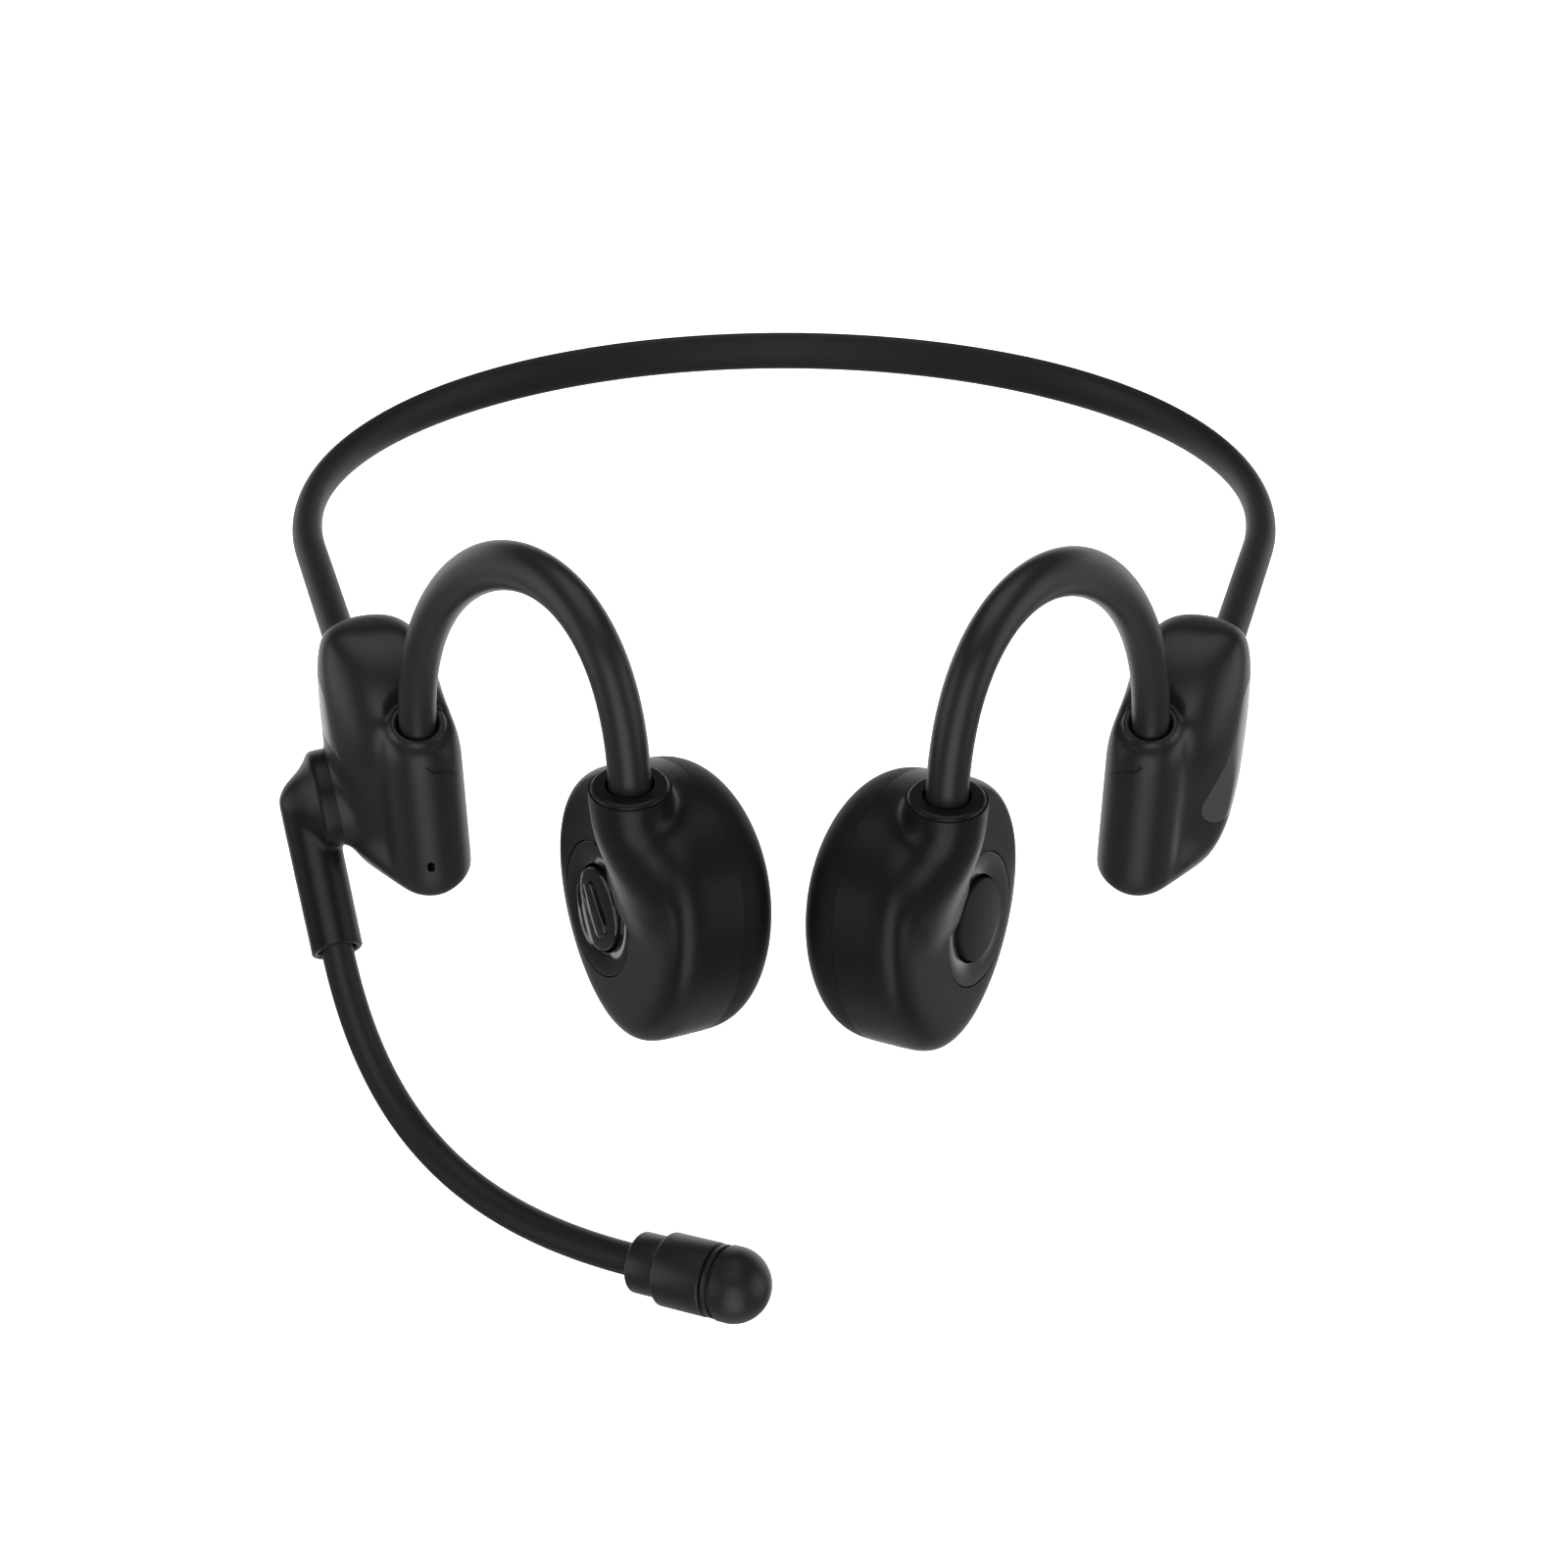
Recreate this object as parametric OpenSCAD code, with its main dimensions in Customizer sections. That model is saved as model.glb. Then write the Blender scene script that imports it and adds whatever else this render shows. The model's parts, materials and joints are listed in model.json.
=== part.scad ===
// Bone conduction headphones with a swivelling boom microphone.
// Millimetres. +X is the wearer's left, +Y the nape, -Y the face, +Z up.
// The origin lies midway between the two ear pods, at the level of the ears.
// "left" and "right" are the wearer's; the boom sits on the right pod.

/* [Neckband] */
// Half of the neckband's width, to the middle of the band
band_half_w = 65.8; // [60:0.2:80]
// Distance from the pods back to the middle of the band at the nape
band_back = 92; // [84:0.5:102]
// How far behind the pods the neckband is widest
band_wide_y = 40; // [36:0.5:45]
// Radius of the gentle bend between the straight ends and the widest point
band_bend_r = 46; // [38:1:52]
// Height of the neckband's middle above the level of the ears
band_z = 23; // [21.5:0.25:23.5]
// Height of the flat section at the nape
band_h = 6; // [5.4:0.1:7.2]
// Thickness of the flat section at the nape
band_t = 2.6; // [2.4:0.1:3.2]
// Diameter of the round ends that go into the pods
band_end_d = 4.2; // [3.8:0.1:4.8]

/* [Cores] */
// Diameter of the spring wire in the band, the hooks and the boom
wire_d = 0.9; // [0.7:0.05:1]
// Diameter of the insulated lead beside it
lead_d = 0.9; // [0.7:0.05:1]
// Clearance round the wire and the lead inside their channel
core_gap = 0.2; // [0.15:0.05:0.3]

/* [Ear pods] */
// Angle by which a pod's outer face turns towards the front
pod_toe = 18; // [14:1:22]
// Height of a pod's leaf-shaped body
pod_h = 35.2; // [34:0.2:42.4]
// Fore-and-aft depth of the leaf
pod_depth = 17; // [15.5:0.5:20]
// Thickness of the leaf through the head
pod_t = 14.4; // [13.5:0.2:16]
// Wall thickness of the moulded shells
wall = 1.3; // [1.1:0.1:1.6]
// Diameter of the upright column under the hook
column_d = 9.2; // [8.6:0.1:10.4]
// Height of the column's mouth, where the hook comes out
column_top = 14.2; // [12.2:0.2:17]
// Thickness of the flat inner cover
pod_cover_t = 1.8; // [1.4:0.1:2.2]
// Width of the glossy inlay on the outer face
inlay_w = 5; // [4:0.5:6]

/* [Ear hooks] */
// Diameter of a hook at its two ends
hook_d = 4.7; // [4.4:0.1:5.7]
// Extra height of the hook's oval section at the crown
hook_swell = 1.1; // [0:0.1:1.6]
// Radial clearance of a hook end in its socket
socket_gap = 0.25; // [0.2:0.05:0.4]
// How far the left hook and pad hang below the right ones
left_drop = 1; // [0:0.25:2]

/* [Transducer pads] */
// Distance of a pad's middle from the middle of the head
pad_x = 13.4; // [12:0.2:20]
// Distance of a pad's middle in front of the pods
pad_front = 39; // [36:0.5:42]
// Height of a pad's middle
pad_z = 13.3; // [11:0.5:16]
// Angle by which a pad's outer face turns towards the front
pad_toe = 30; // [25:1:35]
// Angle by which a pad's lower edge stands out
pad_tilt = 7.5; // [4:0.5:10]
// Width of a pad
pad_w = 31.4; // [26:0.2:36]
// Height of a pad
pad_h = 32; // [30.5:0.5:37]
// Thickness of a pad
pad_t = 13.5; // [11.2:0.1:15]
// Thickness of the soft cover on the skin side
pad_cover_t = 5.4; // [5.2:0.1:6]
// Diameter of the glossy ring round the button
bezel_d = 15.8; // [15:0.1:17.5]
// Diameter of the button
button_d = 9.8; // [8.5:0.1:11]
// Travel of the button
button_travel = 0.5; // [0.4:0.05:0.6]

/* [Boom] */
// Diameter of the swivel disc
hub_d = 13; // [12:0.2:14.5]
// Diameter of the arm
arm_d = 6.9; // [6.6:0.1:7.6]
// Length of the arm from the swivel to its mouth
arm_len = 21.5; // [19:0.5:25]
// Angle of the arm forward of straight down
arm_angle = 14.5; // [8:0.5:20]
// Diameter of the swivel pin
pin_d = 3; // [2.6:0.1:3.4]
// Diameter of the bendable stem
stem_d = 4.3; // [4.1:0.1:4.6]
// Diameter of the microphone barrel
mic_d = 9.6; // [9:0.1:11]
// Length of the microphone barrel
mic_len = 7.2; // [6.4:0.2:9]

/* [Volume keys] */
// Length of the volume rocker
rocker_len = 12; // [10:0.5:13]
// Width of the volume rocker
rocker_w = 3; // [2.6:0.1:3.4]

/* [Hidden] */
$fn = 48;

RIGHT = -1;
LEFT = 1;
SKIN = "#2b2b2d";
SHELL = "#242426";
GLOSS = "#3a3a3d";
STEEL = "#b9bcc0";
COPPER = "#b4703a";
BOARD = "#1f5a3a";

// Shared shapes and curves

function unit(v) = v / norm(v);
function mix(a, b, t) = a + (b - a) * t;
function ease(t) = let (c = min(max(t, 0), 1)) c * c * (3 - 2 * c);
function spow(v, e) = sign(v) * pow(abs(v), e);
function bezier(p, t) = pow(1 - t, 3) * p[0] + 3 * pow(1 - t, 2) * t * p[1]
    + 3 * (1 - t) * t * t * p[2] + t * t * t * p[3];
function flip_x(p) = [-p.x, p.y, p.z];
function on_side(side, path) = side > 0 ? path : [for (p = path) flip_x(p)];

// Direction of a path at point i
function heading(path, i) = unit(path[min(i + 1, len(path) - 1)] - path[max(i - 1, 0)]);

// Closed oval of n points round point i of a path, shifted along "up"
function oval(path, i, up, across, along, shift, n) = let (
    t = heading(path, i),
    a = unit(cross(up, t)),
    b = cross(t, a)
) [for (k = [0 : n - 1]) path[i] + a * across * cos(360 * k / n) + b * (shift + along * sin(360 * k / n))];

// Triangles between ring i and ring i + 1 of a stack with n points a ring
function band_faces(first, n, rings) = [for (i = [0 : rings - 2], j = [0 : n - 1])
    let (p = first + i * n + j, q = first + i * n + (j + 1) % n)
    each [[p, p + n, q + n], [p, q + n, q]]];

// Closed skin over a stack of rings
module loft(rings) {
    n = len(rings[0]);
    m = len(rings);
    caps = [[for (j = [0 : n - 1]) j], [for (j = [n - 1 : -1 : 0]) (m - 1) * n + j]];
    polyhedron([for (r = rings) each r], concat(band_faces(0, n, m), caps), convexity = 6);
}

// Pipe between an outer and an inner stack of rings with n points each
module pipe(outer, inner) {
    n = len(outer[0]);
    m = len(outer);
    start = n * m;
    last = (m - 1) * n;
    walls = concat(band_faces(0, n, m), [for (f = band_faces(start, n, m)) [f[0], f[2], f[1]]]);
    ends = [for (j = [0 : n - 1]) let (k = (j + 1) % n) each [
        [j, k, start + k], [j, start + k, start + j],
        [last + k, last + j, start + last + j], [last + k, start + last + j, start + last + k]
    ]];
    polyhedron([for (r = concat(outer, inner)) each r], concat(walls, ends), convexity = 8);
}

// Channel for the wire and the lead, one above the other
channel_across = max(wire_d, lead_d) / 2 + core_gap;
channel_along = (wire_d + lead_d) / 2 + 2.2 * core_gap;
wire_shift = lead_d / 2 + core_gap;
lead_shift = -wire_d / 2 - core_gap;
core_sides = 6;
sleeve_sides = 12;

module sleeve(path, up, across, along) {
    last = len(path) - 1;
    pipe([for (i = [0 : last]) oval(path, i, up, across(i / last) / 2, along(i / last) / 2, 0, sleeve_sides)],
        [for (i = [0 : last]) oval(path, i, up, channel_across, channel_along, 0, sleeve_sides)]);
}

module core(path, up, d, shift) {
    loft([for (i = [0 : len(path) - 1]) oval(path, i, up, d / 2, d / 2, shift, core_sides)]);
}

// Neckband path: straight out of a pod, a gentle bend, then half an oval round the nape

band_in_x = 3.5;
band_in_y = 1.5;
toe_c = cos(pod_toe);
toe_s = sin(pod_toe);
bend_x = band_half_w - band_bend_r * (1 - toe_c);
bend_y = band_wide_y - band_bend_r * toe_s;
straight_len = (bend_y + band_in_x * toe_s - band_in_y * toe_c) / toe_c;
pod_x = bend_x - straight_len * toe_s - band_in_x * toe_c - band_in_y * toe_s;
straight_steps = 4;
bend_steps = 3;
band_steps = 13;
band_left = concat(
    [for (i = [0 : straight_steps]) let (left = straight_len * (1 - i / straight_steps))
        [bend_x - left * toe_s, bend_y - left * toe_c, band_z]],
    [for (i = [1 : bend_steps]) let (a = pod_toe * (1 - i / bend_steps))
        [band_half_w - band_bend_r * (1 - cos(a)), band_wide_y - band_bend_r * sin(a), band_z]],
    [for (i = [1 : band_steps]) let (a = 90 * i / band_steps) [band_half_w * cos(a),
        band_wide_y + (band_back - band_wide_y) * sin(a), band_z]]
);
band_path = concat(band_left, [for (i = [len(band_left) - 2 : -1 : 0]) flip_x(band_left[i])]);
// Share of the flat section: none at the pods, full behind the widest point
flat_from = 0.075;
flat_over = 0.3;
function band_flat(t) = ease((0.5 - abs(t - 0.5) - flat_from) / flat_over);

module neckband_sleeve() color(SKIN)
    sleeve(band_path, [0, 0, 1], function (t) mix(band_end_d, band_t, band_flat(t)),
        function (t) mix(band_end_d, band_h, band_flat(t)));
module neckband_wire() color(STEEL) core(band_path, [0, 0, 1], wire_d, wire_shift);
module neckband_lead() color(COPPER) core(band_path, [0, 0, 1], lead_d, lead_shift);

// Ear pods: a leaf-shaped body with an upright column at its front edge

pod_mid_y = -0.5;
pod_mid_z = 8.1;
pod_lean = 3;
pod_wedge = 0.2;
pod_fill = 0.14;
// Powers that shape the leaf: its outline seen from above, its ends and its girth
leaf_square = 0.85;
leaf_crown = 0.8;
leaf_girth = 0.62;
leaf_flare = 0.1;
leaf_points = 20;
leaf_pitch = 14;
pod_split_x = -pod_t / 2 + pod_cover_t;
split_gap = 0.1;
column_x = -3.3;
column_y = pod_mid_y - pod_depth / 2 - 0.3;
column_bottom = -7.8;
column_foot_r = 2.5;
shoulder_from = 5.5;
shoulder_to = 1.5;
lip_edge = 0.4;
socket_d = hook_d + 2 * socket_gap;
lip_d = socket_d + 2.4;
socket_depth = 8;
cavity_top = column_top - socket_depth - wall;
reach = 40;

module at_side(side) mirror([side < 0 ? 1 : 0, 0, 0]) children();
module at_pod(side) at_side(side) translate([pod_x, 0, 0]) rotate([0, 0, -pod_toe]) children();

// One level of the leaf at elevation angle a, drawn in by "inset", with its skin side
// stretched by "open" and fuller from the middle up
function leaf_ring(a, inset, open) = let (
    rise = spow(sin(a), leaf_crown),
    girth = pow(cos(a), leaf_girth),
    half_t = (pod_t / 2 - inset) * girth,
    half_d = (pod_depth / 2 - inset) * girth * (1 + leaf_flare * rise),
    z = (pod_h / 2 - inset) * rise,
    skin = open * (1 + pod_fill * ease((rise + 0.6) / 0.8))
) [for (k = [0 : leaf_points - 1]) let (
    turn = 360 * k / leaf_points,
    c = spow(cos(turn), leaf_square),
    s = spow(sin(turn), leaf_square)
) [
    half_t * c * (c > 0 ? 1 + pod_wedge * s : skin),
    pod_mid_y + z * tan(pod_lean) + half_d * s,
    pod_mid_z + z
]];

module leaf(inset, open = 1) loft([for (i = [-6 : 6]) leaf_ring(leaf_pitch * i, inset, open)]);

// Column with a rounded foot and a shoulder that narrows to the lip
module column() translate([column_x, column_y, 0]) rotate_extrude() polygon(concat(
    [[0, column_bottom]],
    [for (a = [0 : 15 : 90])
        [column_d / 2 - column_foot_r * (1 - sin(a)), column_bottom + column_foot_r * (1 - cos(a))]],
    [for (t = [0 : 0.2 : 1])
        [mix(column_d, lip_d, ease(t)) / 2, column_top - mix(shoulder_from, shoulder_to, t)]],
    [[lip_d / 2, column_top - lip_edge], [lip_d / 2 - lip_edge, column_top], [0, column_top]]
));

module pod_body() {
    leaf(0);
    column();
}

// Hollow that runs out through the skin side
cavity_open = 1.3;
module pod_cavity() {
    difference() {
        leaf(wall, cavity_open);
        translate([column_x, column_y, cavity_top]) cylinder(d = column_d, h = reach);
    }
    translate([column_x, column_y, column_bottom + wall])
        cylinder(d = column_d - 2 * wall, h = cavity_top - column_bottom - wall);
}

// Socket in the column for the end of the hook
module hook_socket() translate([column_x, column_y, column_top - socket_depth])
    cylinder(d = socket_d, h = socket_depth + 1);

// Groove up the front of the leaf behind the hook
groove_room = 0.8;
module hook_groove() translate([column_x, column_y, column_top])
    cylinder(d = hook_d + 2 * groove_room, h = reach);

// Half of space on the skin side of x
module skin_side(x) translate([x - reach, -reach, -reach]) cube([reach, 2 * reach, 2 * reach]);

// Prism along +X from a flat outline of length "len" with round ends
module stadium_x(w, len, h) rotate([90, 0, 90]) linear_extrude(h) union() {
    square([w, len - w], center = true);
    for (end = [-1, 1]) translate([0, end * (len - w) / 2]) circle(d = w);
}

// Strip down the outer face that the inlay fills
inlay_t = 0.6;
inlay_gap = 0.08;
inlay_len = 20;
inlay_y = 1.5;
inlay_z = 9;
module inlay_strip(grow) translate([0, inlay_y, inlay_z])
    stadium_x(inlay_w + 2 * grow, inlay_len + 2 * grow, reach);

// Bosses inside the shell for the two cover screws
screw_d = 1.6;
screw_head_d = 2.8;
screw_head_h = 0.8;
screw_seat_t = 0.9;
screw_seat_x = pod_split_x - screw_seat_t;
screw_boss_wall = 1;
screw_gap = 0.15;
screw_slack = 0.05;
screw_hole = 6;
screw_spots = [[-1, 19.5], [-2.5, -3.5]];
module at_screws(x) for (p = screw_spots) translate([x, p.x, p.y]) rotate([0, 90, 0]) children();

// Tube inside the shell that holds the end of the neckband
band_seat_d = band_end_d + 2 * socket_gap;
module at_band_seat() translate([band_in_x, band_in_y, band_z]) rotate([-90, 0, 0]) children();

module pod_shell() difference() {
    intersection() {
        union() {
            difference() {
                pod_body();
                pod_cavity();
            }
            intersection() {
                leaf(wall / 2);
                union() {
                    at_screws(pod_split_x) cylinder(d = screw_d + 2 * screw_boss_wall, h = pod_t);
                    at_band_seat() cylinder(d = band_seat_d + 2 * wall, h = pod_depth);
                }
            }
            children();
        }
        translate([pod_split_x + split_gap / 2, -reach, -reach]) cube([2 * reach, 2 * reach, 2 * reach]);
    }
    hook_socket();
    translate([column_x, column_y, cavity_top - 1]) cylinder(d = 2 * channel_along, h = socket_depth);
    hook_groove();
    at_band_seat() cylinder(d = band_seat_d, h = pod_depth);
    at_screws(pod_split_x) cylinder(d = screw_d, h = screw_hole);
    difference() {
        inlay_strip(inlay_gap);
        leaf(inlay_t);
    }
}

module pod_cover() difference() {
    intersection() {
        pod_body();
        skin_side(pod_split_x - split_gap / 2);
    }
    hook_socket();
    hook_groove();
    at_screws(-pod_t) cylinder(d = screw_d + 2 * screw_gap, h = pod_t);
    at_screws(screw_seat_x - pod_t) cylinder(d = screw_head_d + 2 * screw_gap, h = pod_t);
}

module pod_inlay() intersection() {
    difference() {
        leaf(0);
        leaf(inlay_t);
    }
    inlay_strip(0);
}

screw_len = 4.5;
module pod_screw() {
    translate([0, 0, -screw_head_h]) cylinder(d = screw_head_d, h = screw_head_h);
    cylinder(d = screw_d - screw_slack, h = screw_len);
}

// Swivel on the right pod: the boss is part of the shell

hub_y = 2.6;
hub_z = 0.8;
hub_lean = 3;
hub_seam = pod_t / 2 - 0.2;
seam_gap = 0.12;
boss_base = 1.6;
boss_clear = 1;
pin_gap = 0.05;
washer_d = 10.4;
washer_t = 0.3;
nut_d = 5;
nut_t = 1;

// Frame of the swivel: +Z out along its axis, +X down, +Y back
module on_hub() translate([0, hub_y, hub_z]) rotate([0, hub_lean, 0]) rotate([0, 90, 0]) children();
module at_hub() at_pod(RIGHT) on_hub() children();

// Flat round the boss that clears the arm
flat_drop = 0.4;
module hub_flat() on_hub() translate([0, 0, hub_seam - flat_drop]) difference() {
    cylinder(d = 2 * hub_d, h = reach);
    translate([0, 0, -1]) cylinder(d = hub_d, h = flat_drop + 1);
}

// Boss with a wide concave foot
boss_foot = 3.2;
boss_rim = 0.8;
boss_fall = 3.2;
module hub_boss() on_hub() rotate_extrude() polygon(concat(
    [[0, boss_base], [hub_d / 2, boss_base]],
    [for (a = [0 : 15 : 90])
        [hub_d / 2 + boss_foot * (1 - sin(a)), hub_seam - boss_rim - boss_fall * cos(a)]],
    [[hub_d / 2, hub_seam], [0, hub_seam]]
));

// Sound hole of the pod microphone in the front of the column
pod_mic_d = 2.4;
pod_mic_t = 1.2;
pod_mic_hole = 1;
pod_mic_x = column_x - 0.7;
pod_mic_z = -4.2;
pod_mic_gap = 0.9;
pod_mic_y = column_y - column_d / 2 + wall + pod_mic_gap;

module left_pod_shell() color(SHELL) at_pod(LEFT) difference() {
    pod_shell();
    rocker_slot();
}
module left_pod_cover() color(SHELL) at_pod(LEFT) difference() {
    pod_cover();
    charge_pocket();
}
module left_pod_inlay() color(GLOSS) at_pod(LEFT) pod_inlay();
module right_pod_shell() color(SHELL) at_pod(RIGHT) difference() {
    pod_shell() hub_boss();
    hub_flat();
    on_hub() cylinder(d = pin_d + 2 * pin_gap, h = reach);
    translate([pod_mic_x, column_y, pod_mic_z]) rotate([90, 0, 0]) cylinder(d = pod_mic_hole, h = column_d);
}
module right_pod_cover() color(SHELL) at_pod(RIGHT) pod_cover();
module right_pod_inlay() color(GLOSS) at_pod(RIGHT) difference() {
    pod_inlay();
    on_hub() cylinder(d = hub_d + 2 * boss_foot + boss_clear, h = reach);
}
module pod_screws() color(STEEL)
    for (side = [RIGHT, LEFT]) at_pod(side) at_screws(screw_seat_x) pod_screw();

// Electronics inside the pods

board_x = pod_split_x + 1.6;
board_t = 0.8;
board_low = -7;
board_h = 28;
board_edge = 0.4;
board_gap = 0.3;
chip_h = 0.9;
// Place across and up, width and height of each chip
chips = [[-1.5, 12, 5, 5], [1.5, 4.5, 4, 3], [-2.5, 5, 2.4, 2.4]];
module main_board() color(BOARD) at_pod(RIGHT) difference() {
    union() {
        intersection() {
            leaf(wall + board_edge);
            translate([board_x, -reach, board_low]) cube([board_t, 2 * reach, board_h]);
        }
        for (chip = chips)
            translate([board_x, chip[0] - chip[2] / 2, chip[1] - chip[3] / 2])
                cube([board_t + chip_h, chip[2], chip[3]]);
    }
    at_screws(pod_split_x) cylinder(d = screw_d + 2 * (screw_boss_wall + board_gap), h = pod_t);
    translate([column_x, column_y, -reach]) cylinder(d = column_d + 2 * board_gap, h = 2 * reach);
}

module pod_microphone() color(STEEL) at_pod(RIGHT)
    translate([pod_mic_x, pod_mic_y, pod_mic_z]) rotate([-90, 0, 0]) cylinder(d = pod_mic_d, h = pod_mic_t);

cell_w = 7.6;
cell_h = 14;
cell_t = 4.6;
cell_y = -0.8;
cell_z = 8.5;
cell_gap = 0.2;
module battery() color("#8f9499") at_pod(LEFT)
    translate([pod_split_x + cell_gap, cell_y, cell_z]) stadium_x(cell_w, cell_h, cell_t);

// Magnetic charging contacts in the left pod's cover
contact_w = 3.2;
contact_len = 8;
contact_t = 0.9;
contact_sink = 0.35;
contact_x = -pod_t / 2 * (1 + pod_fill) + contact_sink;
contact_y = 0.4;
contact_z = 8.2;
contact_gap = 0.05;
contact_pitch = 3.6;
contact_pin_d = 1.4;
contact_pin_len = 1.65;
contact_pin_hole = 4;
contact_proud = 0.15;
module at_contact() translate([contact_x, contact_y, contact_z]) children();
module at_contact_pins() for (end = [-1, 1]) at_contact()
    translate([-contact_proud, 0, end * contact_pitch / 2]) rotate([0, 90, 0]) children();
module charge_pocket() {
    at_contact() translate([-contact_t, 0, 0])
        stadium_x(contact_w + 2 * contact_gap, contact_len + 2 * contact_gap, 2 * contact_t);
    at_contact_pins() cylinder(d = contact_pin_d + 2 * contact_gap, h = contact_pin_hole);
}
module charge_socket() color("#161617") at_pod(LEFT) difference() {
    at_contact() stadium_x(contact_w, contact_len, contact_t);
    at_contact_pins() cylinder(d = contact_pin_d + contact_gap, h = contact_pin_hole);
}
module charge_pins() color("#c9a24a") at_pod(LEFT) at_contact_pins()
    cylinder(d = contact_pin_d, h = contact_pin_len);

// Volume rocker in the rear edge of the left pod, and the two switches behind it
rocker_z = 9;
rocker_face_y = pod_mid_y + pod_depth / 2 + 1.1;
rocker_t = 2.9;
rocker_gap = 0.45;
rocker_pivot_d = 1.2;
rocker_pivot_y = rocker_face_y - rocker_t;
switch_board_t = 0.8;
switch_board_gap = 0.05;
switch_h = 0.4;
switch_dot_d = 2;
switch_reach = 3.6;
switch_margin = 0.2;
switch_board_y = rocker_pivot_y - rocker_pivot_d / 2 - switch_board_t - switch_board_gap;
rocker_x = 0.6;
module rocker_prism(grow, from, to) translate([rocker_x, from, rocker_z]) rotate([0, 0, 90])
    stadium_x(rocker_w + 2 * grow, rocker_len + 2 * grow, to - from);
module rocker_slot() rocker_prism(rocker_gap, rocker_pivot_y - rocker_pivot_d, rocker_face_y + rocker_t);
module volume_rocker() color(SKIN) at_pod(LEFT) {
    rocker_prism(0, rocker_pivot_y, rocker_face_y);
    translate([rocker_x - rocker_w / 2, rocker_pivot_y, rocker_z]) rotate([0, 90, 0])
        cylinder(d = rocker_pivot_d, h = rocker_w);
}
module volume_switches() color(BOARD) at_pod(LEFT) {
    rocker_prism(switch_margin, switch_board_y, switch_board_y + switch_board_t);
    for (end = [-1, 1])
        translate([rocker_x, switch_board_y + switch_board_t, rocker_z + end * switch_reach])
            rotate([-90, 0, 0]) cylinder(d = switch_dot_d, h = switch_h);
}

// Ear hooks: up out of the pod's column, over the ear and down into the pad's neck

function pod_point(p) = [pod_x + p.x * toe_c + p.y * toe_s, -p.x * toe_s + p.y * toe_c, p.z];
function drop(side) = side > 0 ? left_drop : 0;
neck_out = 3.2;
neck_front = 5;
neck_up = 19;
neck_d = socket_d + 3.4;
neck_depth = 7;
neck_root = 3;
neck_edge = 0.6;
end_play = 0.3;
hook_rise_rear = 32.2;
hook_rise_front = 36.8;
hook_steps = 20;
hook_foot = pod_point([column_x, column_y, column_top]);
function neck_mouth(side) = [pad_x + neck_out, -pad_front - neck_front, pad_z + neck_up - drop(side)];
function hook_arch(side) = let (
    n = neck_mouth(side),
    p = [hook_foot, hook_foot + [0, 0, hook_rise_rear], n + [0, 0, hook_rise_front], n]
) concat([hook_foot - [0, 0, socket_depth - end_play]],
    [for (i = [0 : hook_steps]) bezier(p, i / hook_steps)],
    [n - [0, 0, neck_depth - end_play]]);
function hook_path(side) = on_side(side, hook_arch(side));
// Level direction square to the plane of the hook
function hook_up(side) = let (d = neck_mouth(side) - hook_foot) unit([d.y * side, -d.x, 0]);

module hook_sleeve(side) color(SKIN) sleeve(hook_path(side), hook_up(side),
    function (t) hook_d + hook_swell * pow(sin(180 * t), 4), function (t) hook_d);
module hook_wire(side) color(STEEL) core(hook_path(side), hook_up(side), wire_d, wire_shift);
module hook_lead(side) color(COPPER) core(hook_path(side), hook_up(side), lead_d, lead_shift);

module right_hook_sleeve() hook_sleeve(RIGHT);
module right_hook_wire() hook_wire(RIGHT);
module right_hook_lead() hook_lead(RIGHT);
module left_hook_sleeve() hook_sleeve(LEFT);
module left_hook_wire() hook_wire(LEFT);
module left_hook_lead() hook_lead(LEFT);

// Transducer pads: an egg-shaped puck in two shells, split near the skin side

pad_egg = 0.12;
pad_roll = -15;
pad_split_x = -pad_t / 2 + pad_cover_t;
pad_face_x = pad_t / 2;
pad_edge_r = 2.4;
pad_cover_r = 4.6;
pad_wall = 3.4;
pad_bore_d = min(pad_w, pad_h) - 2 * pad_wall;
pad_ledge_d = pad_bore_d - 1.6;
pad_skin = 1.5;
button_y = pad_w / 2 - 11.9;
button_z = 13.7 - pad_h / 2;
bezel_t = 0.9;
bezel_gap = 0.06;
button_gap = 0.3;

module at_pad(side) at_side(side) translate([pad_x, -pad_front, pad_z - drop(side)])
    rotate([0, 0, -pad_toe]) rotate([0, -pad_tilt, 0]) children();

// Outline of the puck at x, drawn in by "inset"
function pad_ring(x, inset) = [for (k = [0 : 23]) let (
    y = (pad_w / 2 - inset) * cos(15 * k) * (1 + pad_egg * sin(15 * k)),
    z = (pad_h / 2 - inset) * sin(15 * k)
) [x, y * cos(pad_roll) - z * sin(pad_roll), y * sin(pad_roll) + z * cos(pad_roll)]];

// Round disc along +X from x0 to x1
module disc(x0, x1, d) translate([x0, 0, 0]) rotate([0, 90, 0]) cylinder(d = d, h = x1 - x0);
module at_button() translate([0, button_y, button_z]) children();

// Stack inside a pad, from the skin outwards
plate_x = -pad_face_x + pad_skin;
plate_t = 0.4;
coil_h = 2.5;
yoke_h = 3.9;
yoke_base = 1.4;
yoke_gap = 0.5;
yoke_x = plate_x + plate_t + yoke_gap;
board_face_x = yoke_x + yoke_h;
ledge_x = board_face_x + board_t;
face_wall = 1.7;
cap_flange_t = 0.9;
cap_flange_d = button_d + 1.2;
cap_flange_gap = 0.05;
cap_flange_x = pad_face_x - face_wall - cap_flange_t - cap_flange_gap;
cap_proud = 0.2;
plunger_d = 3;
plunger_len = 0.35;
plunger_gap = 0.05;
button_board_gap = 0.15;
switch_d = 4;
switch_top_x = cap_flange_x - plunger_len - button_travel - plunger_gap;
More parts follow.
